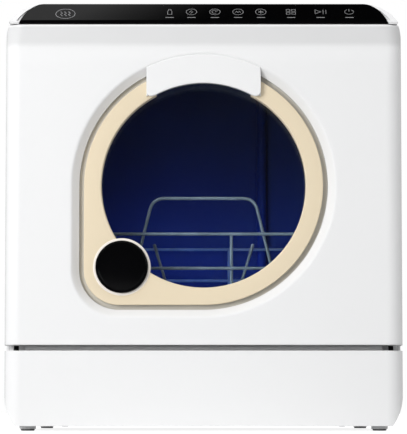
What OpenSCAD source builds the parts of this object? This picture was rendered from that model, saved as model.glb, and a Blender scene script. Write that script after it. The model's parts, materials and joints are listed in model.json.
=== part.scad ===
// Countertop dishwasher with a drop-down door, a round window and a wire rack.
// Origin at the middle of the footprint on the floor, front towards -Y, +Z up, millimetres.

/* [Overall] */
// Width of the body
body_w = 420; // [412:1:510]
// Depth from the door's brow to the end of the inlet thread
body_d = 430; // [420:1:520]
// Height from the floor to the roof
body_h = 455; // [450:1:545]
// Radius of the two top corners, seen from the front
corner_r = 42; // [32:1:44]
// Radius of the upright front edges
edge_r = 17; // [14:1:20]
// Wall of the moulded covers
wall = 2.5; // [2:0.1:3]

/* [Plinth and feet] */
// Gap between the floor and the plinth
foot_h = 5; // [4:0.5:8]
// Height of the plinth
plinth_h = 79; // [74:1:95]
// Radius of the inward curve at the plinth's lower sides
plinth_curve_r = 58; // [50:1:64]
// Height of that curve
plinth_curve_h = 35; // [25:1:40]
// Radius of a foot pad
foot_r = 7.5; // [6:0.5:8]
// Radius of the collar that holds a foot pad
foot_collar_r = 8.75; // [8.5:0.05:10]
// Distance from a foot to the side of the body
foot_inset = 24; // [24:1:40]

/* [Console] */
// Height of the strip that carries the control glass
console_h = 24; // [22:1:28]
// How far the console's sloping face runs back
console_run = 25; // [22:1:28]
// Thickness of the control glass
control_glass_t = 1.5; // [1:0.1:2]
// White rim beside the control glass
console_rim = 7.4; // [5:0.1:10]

/* [Door] */
// Gap between the plinth and the door
door_gap = 6.5; // [6:0.1:9]
// Thickness of the door from its face to its back
door_t = 42; // [42:1:46]
// Gap between the door and the console
console_gap = 1.7; // [1.6:0.1:3]
// Gap between the door's back and the front frame
frame_gap = 3.5; // [3:0.1:5]
// How far the brow leans out in front of the door's face
brow_out = 3; // [1:0.5:4]
// Height of the brow
brow_h = 22; // [15:1:28]
// Thickness of the door liner
liner_t = 3; // [2.5:0.1:3.5]

/* [Window] */
// Radius of the window that shows
window_r = 108; // [90:1:112]
// Height of the window's centre above the door's lower edge
window_up = 168; // [160:1:180]
// Width of the flat surround
bezel_w = 18.4; // [16:0.1:19]
// Width of the groove round the surround
groove_w = 5; // [3:0.1:6]
// Width of the flare outside the groove
flare_w = 8; // [5:0.1:9]
// Depth of the groove's floor behind the door's face
recess_d = 11; // [10:0.5:12]
// Radius of the surround's one squared corner
bezel_corner_r = 37; // [30:1:45]
// Thickness of each window glass
glass_t = 4; // [3:0.5:5]
// Radius of the badge
badge_r = 27.7; // [22:0.1:29]
// Half the width of the pull tab
tab_half = 60.5; // [50:0.5:66]
// Thickness of the pull tab
tab_t = 4; // [3:0.5:5]

/* [Hinge and latch] */
// Radius of a hinge pin
pin_r = 3; // [2.5:0.1:3.5]
// Distance from a hinge arm to the side of the body
hinge_inset = 12.2; // [12:0.1:14]
// Height of the hinge axis above the door's lower edge
hinge_up = 10.5; // [10:0.1:11.5]
// Depth of the hinge axis behind the door's face
hinge_back = 12; // [11.5:0.1:12.5]
// Running clearance of pins and shafts, on the radius
running = 0.05; // [0.02:0.01:0.09]

/* [Chamber] */
// Gap between the tub and the body's side
tub_side_gap = 32; // [30:1:36]
// Gap between the tub and the rear cover
tub_back_gap = 60; // [60:1:70]
// Gap between the tub and the roof
tub_top_gap = 30; // [29:1:34]
// Height of the tub's underside above the plinth
tub_up = 24; // [22:1:28]
// Wall of the tub
tub_wall = 2; // [1.5:0.1:2.5]
// Radius of the tub's long edges
tub_r = 20; // [16:1:26]
// Length of the lower spray arm from its centre to its tip
arm_reach = 140; // [110:1:141]
// Length of the upper spray arm from its centre to its tip
upper_arm_reach = 90; // [70:1:110]
// Radius of the posts that the spray arms turn on
arm_post_r = 6; // [5:0.5:7]

/* [Rack] */
// Radius of the rack's wire
wire_r = 1.7; // [1.4:0.1:1.9]
// Gap between the rack and the tub's side
rack_gap = 26; // [24:1:36]
// Height of the rack's floor above the tub's floor
rack_up = 30; // [28:1:34]
// Height of the middle rail above the rack's floor
rail_mid = 34; // [28:1:40]
// Height of the top rail above the rack's floor
rail_top = 71; // [60:1:78]
// Height of the hoop above the rack's floor
hoop_up = 111; // [95:1:125]
// Half the width of the hoop's straight top
hoop_half = 44; // [36:1:50]
// Lean of the outer tines
tine_lean = 17; // [10:1:20]

/* [Water] */
// Radius of the inlet thread
inlet_r = 13.2; // [12:0.1:14]
// Radius of the drain spigot
drain_r = 8; // [7:0.1:9]
// Radius of the sump bowl
sump_r = 58; // [54:1:60]
// Radius of the fill cap
cap_r = 22; // [20:0.5:24]

/* [Hidden] */

// Through cuts run this far past the faces that they cut
past = 1;
// Clearance between pieces that are pushed together
fit = 0.3;

// Depths, from the front to the back
front_y = -body_d / 2;
face_y = front_y + brow_out;
door_back_y = face_y + door_t;
frame_y = door_back_y + frame_gap;
frame_t = 6;
frame_back_y = frame_y + frame_t;
thread_out = 15;
rear_y = body_d / 2 - thread_out;
rear_cover_t = 2;
tub_back_y = rear_y - tub_back_gap;
spray_y = -10;

// Heights, from the floor to the roof
plinth_top = foot_h + plinth_h;
door_low = plinth_top + door_gap;
console_z = body_h - console_h;
door_top = console_z - console_gap;
window_z = door_low + window_up;
tub_low = plinth_top + tub_up;
tub_floor = tub_low + tub_wall;
tub_top = body_h - tub_top_gap;
tub_roof = tub_top - tub_wall;

// Window rings, each measured outwards from the one before it
bezel_r = window_r + bezel_w;
groove_r = bezel_r + groove_w;
flare_r = groove_r + flare_w;
groove_corner_r = bezel_corner_r + groove_w;
flare_corner_r = groove_corner_r + flare_w;
corner_at = bezel_r - bezel_corner_r;
groove_y = face_y + recess_d;
flare_d = recess_d - 2;
groove_floor_t = 3;
seat_r = window_r + 4;
seat_y = face_y + 20;
gasket_t = 5;
glass_y = seat_y + gasket_t;
glass_r = seat_r + 7.5;
clamp_y = glass_y + glass_t;
clamp_t = 2.5;
boss_ring_r = glass_r + 7.5;
liner_y = door_back_y - liner_t;
inner_glass_r = window_r + 10;
badge_at = corner_at - 3.1;
badge_ring = 2.7;
badge_y = face_y + 5.5;
tab_pocket_half = tab_half - 3.5;
handle_gap_half = tab_half + 0.7;

// Hinge
hinge_x = body_w / 2 - hinge_inset;
hinge_y = face_y + hinge_back;
hinge_z = door_low + hinge_up;
arm_t = 3.6;
arm_half_h = 4;
arm_eye_r = 6.5;
arm_slot_w = 5;
cheek_in = hinge_x - 7.8;
cheek_out = hinge_x + 5;

// Latch
latch_x = body_w / 2 - 15;
latch_z = door_low + 277.5;
latch_pivot_y = frame_back_y + 23.5;

// Tub opening
tub_half = body_w / 2 - tub_side_gap;
tub_flange = 10;
mouth_lip = 4;
mouth_half = tub_half - tub_wall - mouth_lip;
mouth_low = tub_floor + mouth_lip;
mouth_high = tub_roof - mouth_lip;
gasket_in = 1;
gasket_w = 7;

// Rack
rack_half = tub_half - tub_wall - rack_gap;
rack_front = frame_back_y + 15.5;
rack_back = tub_back_y - 20;
rack_z = tub_floor + rack_up;
rack_bend = 20;

// Fill opening and water tank
fill_x = -100;
fill_y = rear_y - 40;
cap_pivot_y = fill_y + cap_r + 2;
cap_pivot_z = body_h - 4;
funnel_z = body_h - wall - 3;
tank_front = tub_back_y + 3;
tank_back = rear_y - 4;
tank_left = -172;
tank_right = 40;
tank_top = funnel_z - 15;

// Pumps and pipes in the plinth
cover_t = 2.5;
cover_top = foot_h + 0.5 + cover_t;
pump_z = 53;
sump_low = pump_z - 13;
heater_z = sump_low + 14;
heater_ring = 40;
pipe_r = 6;
pipe_bore = 4.5;
stub_end = sump_r + 2;
wash_volute_r = 28;
drain_volute_r = 22;
pump_outlet = 9;
wash_pipe_x = stub_end + pump_outlet;
riser_y = tub_back_y - 10;
drain_x = -stub_end - pump_outlet;
valve_x = -120;
gland_x = 150;
tank_pipe_z = 58;

// Fan
fan_x = 115;
fan_z = tub_top - 50;
fan_half = 47;
fan_bore = 42;

white = [0.95, 0.95, 0.95];
cream = [0.91, 0.86, 0.75];
black = [0.03, 0.03, 0.04];
steel = [0.55, 0.56, 0.58];
wire_grey = [0.42, 0.43, 0.45];
rubber_grey = [0.45, 0.45, 0.46];
navy = [0.07, 0.12, 0.28];
board_green = [0.1, 0.35, 0.2];
part_grey = [0.7, 0.71, 0.72];

// Extrude an outline drawn in X and Z between two depths
module between_y(front, back) {
    translate([0, back, 0]) rotate([90, 0, 0]) linear_extrude(back - front) children();
}

// Extrude a profile drawn in Y and Z between two sides
module between_x(left, right) {
    translate([left, 0, 0]) rotate([90, 0, 90]) linear_extrude(right - left) children();
}

// Extrude a plan between two heights
module between_z(low, high) {
    translate([0, 0, low]) linear_extrude(high - low) children();
}

module rod_x(left, right, y, z, r) {
    translate([left, y, z]) rotate([0, 90, 0]) cylinder(r = r, h = right - left, $fn = 48);
}

module rod_y(front, back, x, z, r) {
    translate([x, front, z]) rotate([-90, 0, 0]) cylinder(r = r, h = back - front, $fn = 48);
}

module rod_z(low, high, x, y, r) {
    translate([x, y, low]) cylinder(r = r, h = high - low, $fn = 48);
}

module block(low, high) {
    translate(low) cube(high - low);
}

// A straight wire from one point to another
module wire(start, end, r) {
    run = end - start;
    translate(start) rotate([0, acos(run[2] / norm(run)), atan2(run[1], run[0])])
        cylinder(r = r, h = norm(run), $fn = 32);
}

// A plan whose two front corners are round
module front_round_plan(half, front, back, r) {
    translate([-half, front + r]) square([2 * half, back - front - r]);
    translate([r - half, front]) square([2 * (half - r), 2 * r]);
    for (side = [-1, 1])
        translate([side * (half - r), front + r]) circle(r, $fn = 64);
}

// A front outline whose two top corners are round
module top_round_outline(half, low, top, r) {
    translate([-half, low]) square([2 * half, top - low - r]);
    translate([r - half, top - 2 * r]) square([2 * (half - r), 2 * r]);
    for (side = [-1, 1])
        translate([side * (half - r), top - r]) circle(r, $fn = 96);
}

// A rectangle with four round corners
module round_rect(left, right, low, high, r) {
    translate([left, low + r]) square([right - left, high - low - 2 * r]);
    translate([left + r, low]) square([right - left - 2 * r, high - low]);
    for (x = [left + r, right - r], z = [low + r, high - r])
        translate([x, z]) circle(r, $fn = 64);
}

// The plinth's front outline, whose sides curve in towards the floor
module plinth_outline(inset, low) {
    half = body_w / 2 - inset;
    r = plinth_curve_r - inset;
    centre_z = foot_h + plinth_curve_h;
    intersection() {
        translate([-half, low]) square([2 * half, plinth_top - low]);
        union() {
            translate([-half, centre_z]) square([2 * half, plinth_top - centre_z]);
            translate([r - half, low - past]) square([2 * (half - r), plinth_top - low]);
            for (side = [-1, 1])
                translate([side * (half - r), centre_z]) circle(r, $fn = 96);
        }
    }
}

// Half the width inside the plinth's wall at a height
function plinth_inside(z) =
    body_w / 2 - plinth_curve_r + sqrt(pow(plinth_curve_r - wall, 2) - pow(foot_h + plinth_curve_h - z, 2));

foot_places = [for (x = [-1, 1], y = [face_y + 27, rear_y - 60]) [x * (body_w / 2 - foot_inset), y]];
cover_bosses = [for (x = [-150, 150], y = [-120, 110]) [x, y]];
rear_bosses = [for (side = [-1, 1], z = [120, 0.6 * body_h, body_h - 50]) [side * (body_w / 2 - 8), z]];

module base_housing() {
    color(white) difference() {
        union() {
            difference() {
                intersection() {
                    between_y(face_y, rear_y) plinth_outline(0, foot_h);
                    between_z(foot_h - past, plinth_top)
                        front_round_plan(body_w / 2, face_y, rear_y, edge_r);
                }
                intersection() {
                    between_y(face_y + wall, rear_y - wall) plinth_outline(wall, foot_h - past);
                    between_z(foot_h - past, plinth_top - wall)
                        front_round_plan(body_w / 2 - wall, face_y + wall, rear_y - wall, edge_r - wall);
                }
            }
            for (p = foot_places)
                rod_z(foot_h - 3, plinth_top - wall / 2, p[0], p[1], foot_collar_r);
            for (p = cover_bosses)
                rod_z(cover_top, plinth_top - wall / 2, p[0], p[1], 5);
        }
        for (p = foot_places)
            rod_z(foot_h - 3 - past, foot_h + 5, p[0], p[1], 4);
        for (p = cover_bosses)
            rod_z(cover_top - past, cover_top + 14, p[0], p[1], 1.5);
        rod_z(plinth_top - wall - past, plinth_top + past, 0, spray_y, sump_r + 12);
        rod_z(plinth_top - wall - past, plinth_top + past, wash_pipe_x, riser_y, pipe_r + fit);
        rod_z(plinth_top - wall - past, plinth_top + past, 0, fill_y, pipe_r + fit);
        rod_z(plinth_top - wall - past, plinth_top + past, valve_x, fill_y, pipe_r + fit);
        rod_y(rear_y - wall - past, rear_y + past, valve_x, pump_z, inlet_r + fit);
        rod_y(rear_y - wall - past, rear_y + past, drain_x, pump_z, drain_r + fit);
        rod_y(rear_y - wall - past, rear_y + past, gland_x, pump_z, 8);
    }
}

module bottom_cover() {
    low = cover_top - cover_t;
    half = plinth_inside(low) - fit;
    color(part_grey) difference() {
        between_z(low, cover_top)
            front_round_plan(half, face_y + wall + fit, rear_y - wall - fit, edge_r - wall);
        for (p = foot_places)
            rod_z(low - past, cover_top + past, p[0], p[1], foot_collar_r + fit);
        for (p = cover_bosses)
            rod_z(low - past, cover_top + past, p[0], p[1], 1.7);
        for (i = [-5:5])
            block([i * 14 - 2, 60, low - past], [i * 14 + 2, 130, cover_top + past]);
    }
}

module foot_pads() {
    color(rubber_grey) for (p = foot_places) {
        rod_z(0, foot_h - 3, p[0], p[1], foot_r);
        rod_z(0, foot_h + 4, p[0], p[1], 4 - running);
    }
}

// Screws: thread, head, the hole they pass through and the boss they bite into
screw_r = 1.45;
head_r = 3.5;
head_t = 1.6;
screw_hole_r = 1.7;
boss_r = 6.5;
boss_bore = 1.5;
// Gap round the fill cap in the roof
cap_gap = 0.9;

module outer_casing() {
    r = corner_r - wall;
    color(white) difference() {
        union() {
            between_y(frame_y, rear_y) difference() {
                top_round_outline(body_w / 2, plinth_top, body_h, corner_r);
                top_round_outline(body_w / 2 - wall, plinth_top - past, body_h - wall, r);
            }
            for (b = rear_bosses)
                rod_y(rear_y - 12, rear_y, b[0], b[1], boss_r);
        }
        for (b = rear_bosses)
            rod_y(rear_y - 11, rear_y + past, b[0], b[1], boss_bore);
        rod_z(body_h - wall - past, body_h + past, fill_x, fill_y, cap_r + cap_gap);
        block([fill_x - 14, fill_y, body_h - wall - past], [fill_x + 14, cap_pivot_y + 5.5, body_h + past]);
    }
}

// The slots of the fan's grille, half their width and one to the next
grille_half = 34;
grille_pitch = 8;

module rear_cover() {
    color(part_grey) difference() {
        between_y(rear_y, rear_y + rear_cover_t)
            top_round_outline(body_w / 2 - 0.5, plinth_top, body_h - 0.5, corner_r - 0.5);
        for (b = rear_bosses)
            rod_y(rear_y - past, rear_y + rear_cover_t + past, b[0], b[1], screw_hole_r);
        for (i = [-4:4])
            block([fan_x - grille_half, rear_y - past, fan_z + i * grille_pitch - 2],
                  [fan_x + grille_half, rear_y + rear_cover_t + past, fan_z + i * grille_pitch + 2]);
    }
}

module case_screws() {
    color(steel) {
        for (b = rear_bosses) {
            rod_y(rear_y - 9, rear_y + rear_cover_t + head_t, b[0], b[1], screw_r);
            rod_y(rear_y + rear_cover_t, rear_y + rear_cover_t + head_t, b[0], b[1], head_r);
        }
        for (p = cover_bosses) {
            rod_z(cover_top - cover_t - head_t, cover_top + 12, p[0], p[1], screw_r);
            rod_z(cover_top - cover_t - head_t, cover_top - cover_t, p[0], p[1], head_r);
        }
    }
}

module front_frame() {
    edge = wall + fit;
    color(white) difference() {
        between_y(frame_y, frame_back_y) difference() {
            top_round_outline(body_w / 2 - edge, plinth_top, body_h - edge, corner_r - edge);
            round_rect(-mouth_half, mouth_half, mouth_low, mouth_high, tub_r - mouth_lip);
        }
        for (side = [-1, 1])
            translate([side * hinge_x, 0, 0])
                block([-arm_t / 2 - fit, frame_y - past, hinge_z - arm_half_h - fit],
                      [arm_t / 2 + fit, frame_back_y + past, hinge_z + arm_half_h + fit]);
        block([latch_x - 4.5, frame_y - past, latch_z - 5],
              [latch_x + 4.5, frame_back_y + past, latch_z + 24]);
    }
}

// How far back the console's slope lies at a height, a depth below its surface
lip_z = console_z + 1.5;
console_front = face_y - 1;
slope_angle = atan2(body_h - lip_z, console_run);
function slope_y(z, depth) = console_front + (z - lip_z) / tan(slope_angle) + depth / sin(slope_angle);

// A slab that lies in the console's slope, between two depths below its surface
module slope_slab(half, low, high, outer, inner) {
    between_x(-half, half) polygon([
        [slope_y(low, outer), low], [slope_y(high, outer), high],
        [slope_y(high, inner), high], [slope_y(low, inner), low]]);
}

// The control glass, or the seat that takes it, grown by a clearance
module glass_form(grow, over) {
    intersection() {
        slope_slab(body_w / 2, lip_z + 0.8 - grow, body_h + over, -over, control_glass_t);
        between_y(front_y - past, frame_y)
            top_round_outline(body_w / 2 - console_rim + grow, console_z, body_h + over, corner_r);
    }
}

module console_housing() {
    depth = control_glass_t + 2;
    low = console_z + 2;
    high = body_h - wall;
    color(white) difference() {
        intersection() {
            between_y(console_front, frame_y) top_round_outline(body_w / 2, console_z, body_h, corner_r);
            between_x(-body_w / 2, body_w / 2) polygon([
                [frame_y, console_z], [console_front, console_z], [console_front, lip_z],
                [slope_y(body_h, 0), body_h], [frame_y, body_h]]);
        }
        intersection() {
            between_y(console_front, frame_y + past)
                top_round_outline(body_w / 2 - wall, low, high, corner_r - wall);
            between_x(-body_w / 2, body_w / 2) polygon([
                [frame_y + past, low], [slope_y(low, depth), low],
                [slope_y(high, depth), high], [frame_y + past, high]]);
        }
        glass_form(0.15, past);
    }
}

module control_glass() {
    color(black) glass_form(0, 0);
}

module touch_board() {
    depth = control_glass_t + 2;
    color(board_green) slope_slab(150, console_z + 4, body_h - wall - 2, depth + 0.1, depth + 1.7);
}

// A board on four posts, with two blocks and three round cans on its face
module main_board() {
    back = rear_y - 18;
    face = back - 1.6;
    left = 64;
    right = 168;
    low = 190;
    high = 300;
    color(board_green) {
        block([left, face, low], [right, back, high]);
        for (x = [left + 6, right - 6], z = [low + 6, high - 6]) rod_y(back, rear_y, x, z, 3);
        block([left + 16, face - 12.4, low + 20], [left + 46, face, low + 46]);
        block([right - 46, face - 18.4, high - 50], [right - 22, face, high - 16]);
        for (x = [14, 30, 44]) rod_y(face - 14.4, face, left + x, high - 32, 6);
    }
}

module tub() {
    inner_r = tub_r - tub_wall;
    color(navy) difference() {
        union() {
            between_y(frame_back_y, tub_back_y) round_rect(-tub_half, tub_half, tub_low, tub_top, tub_r);
            between_y(frame_back_y, frame_back_y + tub_wall)
                round_rect(-tub_half - tub_flange, tub_half + tub_flange,
                           tub_low - tub_flange, tub_top + tub_flange, tub_r);
        }
        between_y(frame_back_y - past, tub_back_y - tub_wall)
            round_rect(tub_wall - tub_half, tub_half - tub_wall, tub_floor, tub_roof, inner_r);
        rod_z(tub_low - past, tub_floor + past, 0, spray_y, sump_r + 0.2);
        rod_z(tub_low - past, tub_floor + past, wash_pipe_x, riser_y, pipe_r + running);
        rod_y(tub_back_y - tub_wall - past, tub_back_y + past, fan_x, fan_z, 15 + fit);
    }
}

module tub_gasket() {
    inner = mouth_half + gasket_in;
    low = mouth_low - gasket_in;
    high = mouth_high + gasket_in;
    color(rubber_grey) between_y(door_back_y + 0.4, frame_y) difference() {
        round_rect(-inner - gasket_w, inner + gasket_w, low - gasket_w, high + gasket_w, tub_r + gasket_w);
        round_rect(-inner, inner, low, high, tub_r);
    }
}

// A flat arm with an eye for the pin, and a foot behind the front frame
module hinge_arm(side) {
    out = body_w / 2 - wall - fit - hinge_x;
    color(steel) translate([side * hinge_x, 0, 0]) difference() {
        union() {
            block([-arm_t / 2, hinge_y, hinge_z - arm_half_h],
                  [arm_t / 2, frame_back_y + 3, hinge_z + arm_half_h]);
            rod_x(-arm_t / 2, arm_t / 2, hinge_y, hinge_z, arm_eye_r);
            scale([side, 1, 1]) block([-8, frame_back_y, hinge_z - 10],
                                      [out - 1, frame_back_y + 3, hinge_z + 22]);
        }
        rod_x(-arm_t, arm_t, hinge_y, hinge_z, pin_r + running);
    }
}

module hinge_arm_left() {
    hinge_arm(-1);
}

module hinge_arm_right() {
    hinge_arm(1);
}

// The lever's hook rises into a notch in the underside of the striker
lever_half = 1.5;
hook_front = frame_back_y - 2.5;
hook_back = frame_back_y + 0.5;
striker_half = 1.8;
striker_low = latch_z + 8;
striker_high = latch_z + 18;

// A box open to the front, with the lever's pin across it
module latch_housing() {
    color(part_grey) {
        difference() {
            block([latch_x - 6, frame_back_y, latch_z - 8],
                  [latch_x + 7.5, frame_back_y + 33, latch_z + 28]);
            block([latch_x - 4.5, frame_back_y - past, latch_z - 6],
                  [latch_x + 5.5, frame_back_y + 31, latch_z + 26]);
        }
        rod_x(latch_x - 5, latch_x + 6, latch_pivot_y, latch_z, lever_half);
    }
}

module latch_lever() {
    color(steel) difference() {
        union() {
            block([latch_x - lever_half, hook_front, latch_z - 2.5],
                  [latch_x + lever_half, latch_pivot_y, latch_z + 2.5]);
            block([latch_x - lever_half, hook_front, latch_z],
                  [latch_x + lever_half, hook_back, striker_low - 0.4]);
            rod_x(latch_x - lever_half, latch_x + lever_half, latch_pivot_y, latch_z, 3.5);
        }
        rod_x(latch_x - 3, latch_x + 3, latch_pivot_y, latch_z, lever_half + running);
    }
}

module latch_striker() {
    color(steel) difference() {
        union() {
            block([latch_x - striker_half, door_back_y, striker_low],
                  [latch_x + striker_half, frame_back_y + 4.5, striker_high]);
            block([latch_x - 8, liner_y - 1.5, latch_z + 4],
                  [latch_x + striker_half, liner_y, latch_z + 22]);
            block([latch_x - striker_half, liner_y - 1, striker_low],
                  [latch_x + striker_half, door_back_y + 1, striker_high]);
        }
        block([latch_x - 3, hook_front - 1.5, striker_low - 1],
              [latch_x + 3, hook_back + 1.5, striker_low + 3.5]);
    }
}

module water_tank() {
    t = wall;
    color([0.85, 0.88, 0.9]) difference() {
        block([tank_left, tank_front, plinth_top], [tank_right, tank_back, tank_top]);
        block([tank_left + t, tank_front + t, plinth_top + t],
              [tank_right - t, tank_back - t, tank_top - t]);
        rod_z(tank_top - t - past, tank_top + past, fill_x, fill_y, 14);
        rod_z(plinth_top - past, plinth_top + t + past, 0, fill_y, pipe_bore);
        rod_z(plinth_top - past, plinth_top + t + past, valve_x, fill_y, pipe_bore);
    }
}

// A rim under the cap, a cone and a spigot that plugs into the tank's roof
module fill_funnel() {
    neck_r = 11.5;
    throat_r = 17;
    color(part_grey) difference() {
        union() {
            rod_z(funnel_z, funnel_z + 3, fill_x, fill_y, cap_r + 5);
            translate([fill_x, fill_y, tank_top])
                cylinder(r1 = neck_r + 4, r2 = throat_r + 2, h = funnel_z - tank_top, $fn = 64);
            rod_z(tank_top - 6, tank_top + 1, fill_x, fill_y, neck_r + 2.2);
            for (side = [-1, 1])
                translate([fill_x + side * 11.2, 0, 0])
                    block([-1.6, fill_y + 14, funnel_z - 3], [1.6, cap_pivot_y + 4, funnel_z + 3]);
        }
        translate([fill_x, fill_y, tank_top])
            cylinder(r1 = neck_r, r2 = throat_r, h = funnel_z - tank_top, $fn = 64);
        rod_z(funnel_z - 0.01, funnel_z + 4, fill_x, fill_y, throat_r);
        rod_z(tank_top - 7, tank_top + 0.01, fill_x, fill_y, neck_r);
        block([fill_x - 9.3, fill_y + 17.5, funnel_z - 4], [fill_x + 9.3, cap_pivot_y + 8, funnel_z + 4]);
        rod_x(fill_x - 14, fill_x + 14, cap_pivot_y, cap_pivot_z, 1.2 + running);
    }
}

module fill_cap() {
    low = funnel_z + 3 + fit;
    color(white) {
        rod_z(low, body_h, fill_x, fill_y, cap_r);
        rod_z(low - 3.7, low + 1, fill_x, fill_y, 16.3);
        block([fill_x - 6, fill_y + 19, low - 1], [fill_x + 6, cap_pivot_y, low + 1.5]);
        rod_x(fill_x - 8.5, fill_x + 8.5, cap_pivot_y, cap_pivot_z, 2.2);
        rod_x(fill_x - 12, fill_x + 12, cap_pivot_y, cap_pivot_z, 1.2);
    }
}

module sump() {
    low = sump_low;
    bowl = sump_r - wall;
    color(part_grey) difference() {
        union() {
            rod_z(low, tub_low, 0, spray_y, sump_r);
            rod_z(tub_low - 2, tub_low, 0, spray_y, sump_r + 10);
            rod_x(sump_r - 5, stub_end, spray_y, pump_z, 10);
            rod_x(-stub_end, 5 - sump_r, spray_y, pump_z, 10);
            rod_y(spray_y + sump_r - 5, spray_y + stub_end, 0, tank_pipe_z, 8);
        }
        difference() {
            rod_z(low + wall, tub_low + past, 0, spray_y, bowl);
            rod_z(low, tub_floor + 6, 0, spray_y, arm_post_r + 2);
        }
        rod_x(0, stub_end + past, spray_y, pump_z, 7);
        rod_x(-stub_end - past, 0, spray_y, pump_z, 7);
        rod_y(spray_y, spray_y + stub_end + past, 0, tank_pipe_z, pipe_bore);
        for (side = [-1, 1])
            rod_z(low - past, low + wall + past, side * 10, spray_y - heater_ring, 3 + running);
    }
    color(part_grey) {
        rod_z(low, tub_floor + 6, 0, spray_y, arm_post_r + 2);
        rod_z(tub_floor, tub_floor + 20, 0, spray_y, arm_post_r - running);
    }
}

// The filter cup stands beside the arm's post, in a hole of the flat filter
cup_x = 33;
cup_r = 18;
filter_t = 1.5;

module filter_plate() {
    color(steel) difference() {
        rod_z(tub_low, tub_low + filter_t, 0, spray_y, sump_r);
        rod_z(tub_low - past, tub_floor + past, 0, spray_y, arm_post_r + 2 + fit);
        rod_z(tub_low - past, tub_floor + past, cup_x, spray_y, cup_r + fit);
        for (ring = [26, 36, 46], i = [0:23])
            if (norm([ring * cos(i * 15) - cup_x, ring * sin(i * 15)]) > cup_r + 5)
                translate([ring * cos(i * 15), spray_y + ring * sin(i * 15), tub_low - past])
                    cylinder(r = 1.6, h = 4, $fn = 6);
    }
}

module filter_cup() {
    low = tub_low - 46;
    color(part_grey) translate([cup_x, spray_y, 0]) difference() {
        union() {
            rod_z(low, tub_low + filter_t + fit, 0, 0, cup_r);
            rod_z(tub_low + filter_t + fit, tub_low + 3.5, 0, 0, cup_r + 3);
            block([1 - cup_r, -2, tub_low + 2], [cup_r - 1, 2, tub_low + 9]);
        }
        rod_z(low + 2, tub_low + 1, 0, 0, cup_r - 2);
        for (turn = [0:30:150]) rotate([0, 0, turn])
            block([-20, -2.5, low + 8], [20, 2.5, tub_low - 6]);
    }
}

module spray_arm() {
    low = tub_floor + 6 + fit;
    arm_low = tub_floor + 10;
    color(part_grey) translate([0, spray_y, 0]) difference() {
        union() {
            rod_z(low, tub_floor + 20, 0, 0, 14);
            between_z(arm_low, arm_low + 8) {
                square([2 * (arm_reach - 12), 24], center = true);
                for (side = [-1, 1]) translate([side * (arm_reach - 12), 0]) circle(12, $fn = 64);
            }
        }
        rod_z(low - past, tub_floor + 20 + past, 0, 0, arm_post_r);
        for (side = [-1, 1], i = [1:5])
            rod_z(arm_low + 5, arm_low + 9, side * (30 + i * 19), side * (i % 2 == 0 ? 4 : -4), 1.5);
    }
}

hub_high = tub_roof - 14;

module upper_spray_arm() {
    color(part_grey) translate([0, spray_y, 0]) difference() {
        union() {
            rod_z(hub_high - 10, hub_high, 0, 0, 12);
            between_z(hub_high - 9, hub_high - 2) {
                square([2 * (upper_arm_reach - 9), 18], center = true);
                for (side = [-1, 1]) translate([side * (upper_arm_reach - 9), 0]) circle(9, $fn = 64);
            }
        }
        rod_z(hub_high - 10 - past, hub_high + past, 0, 0, arm_post_r);
        for (side = [-1, 1], i = [1:4])
            rod_z(hub_high - 10, hub_high - 6, side * (20 + i * 14), side * (i % 2 == 0 ? 3 : -3), 1.5);
    }
}

module upper_spray_pipe() {
    pipe_z = tub_roof - pipe_r - 1;
    color(navy) {
        rod_z(tub_low - 2, pipe_z, wash_pipe_x, riser_y, pipe_r);
        translate([wash_pipe_x, riser_y, pipe_z]) sphere(pipe_r, $fn = 48);
        translate([wash_pipe_x, riser_y, pipe_z])
            rotate([90, 0, -atan2(wash_pipe_x, riser_y - spray_y)])
                cylinder(r = pipe_r - 0.5, h = norm([wash_pipe_x, riser_y - spray_y]), $fn = 48);
        rod_z(hub_high + 1, tub_roof, 0, spray_y, arm_post_r + 3);
        rod_z(hub_high - 12, tub_roof, 0, spray_y, arm_post_r - running);
        rod_z(hub_high - 13, hub_high - 10 - fit, 0, spray_y, arm_post_r + 3);
    }
}

// A round pump along X: a volute with its inlet towards the sump, a motor and a cradle
module pump(side, volute_r, motor_r, length) {
    start = stub_end;
    scale([side, 1, 1]) difference() {
        union() {
            rod_x(start, start + 18, spray_y, pump_z, volute_r);
            rod_x(start + 18, start + length, spray_y, pump_z, motor_r);
            block([start + 25, spray_y - 14, cover_top],
                  [start + length - 10, spray_y + 14, pump_z - motor_r + 5]);
        }
        rod_x(start + 2, start + 16, spray_y, pump_z, volute_r - 4);
        rod_x(start - past, start + 3, spray_y, pump_z, 7);
        rod_x(start + 15, start + 30, spray_y, pump_z, 3 + running);
        rod_y(spray_y, spray_y + volute_r + past, start + pump_outlet, pump_z, pipe_bore);
    }
}

// An impeller with straight vanes on a disc and a shaft
module impeller(side, r) {
    start = stub_end;
    scale([side, 1, 1]) {
        rod_x(start + 11, start + 14, spray_y, pump_z, r);
        rod_x(start + 5, start + 29, spray_y, pump_z, 3);
        for (turn = [0:60:300])
            translate([0, spray_y, pump_z]) rotate([turn, 0, 0])
                block([start + 5, 1, -1], [start + 12, r - 1, 1]);
    }
}

module wash_pump_body() {
    color(part_grey) pump(1, wash_volute_r, wash_volute_r - 4, 66);
}

module wash_impeller() {
    color(black) impeller(1, wash_volute_r - 6);
}

module drain_pump_body() {
    color(part_grey) pump(-1, drain_volute_r, drain_volute_r - 3, 58);
}

module drain_impeller() {
    color(black) impeller(-1, drain_volute_r - 6);
}

module heater() {
    color(steel) translate([0, spray_y, 0]) {
        translate([0, 0, heater_z]) rotate_extrude($fn = 96) translate([heater_ring, 0]) circle(4, $fn = 32);
        for (side = [-1, 1]) rod_z(sump_low - 4, heater_z, side * 10, -heater_ring, 3);
    }
}

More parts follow.
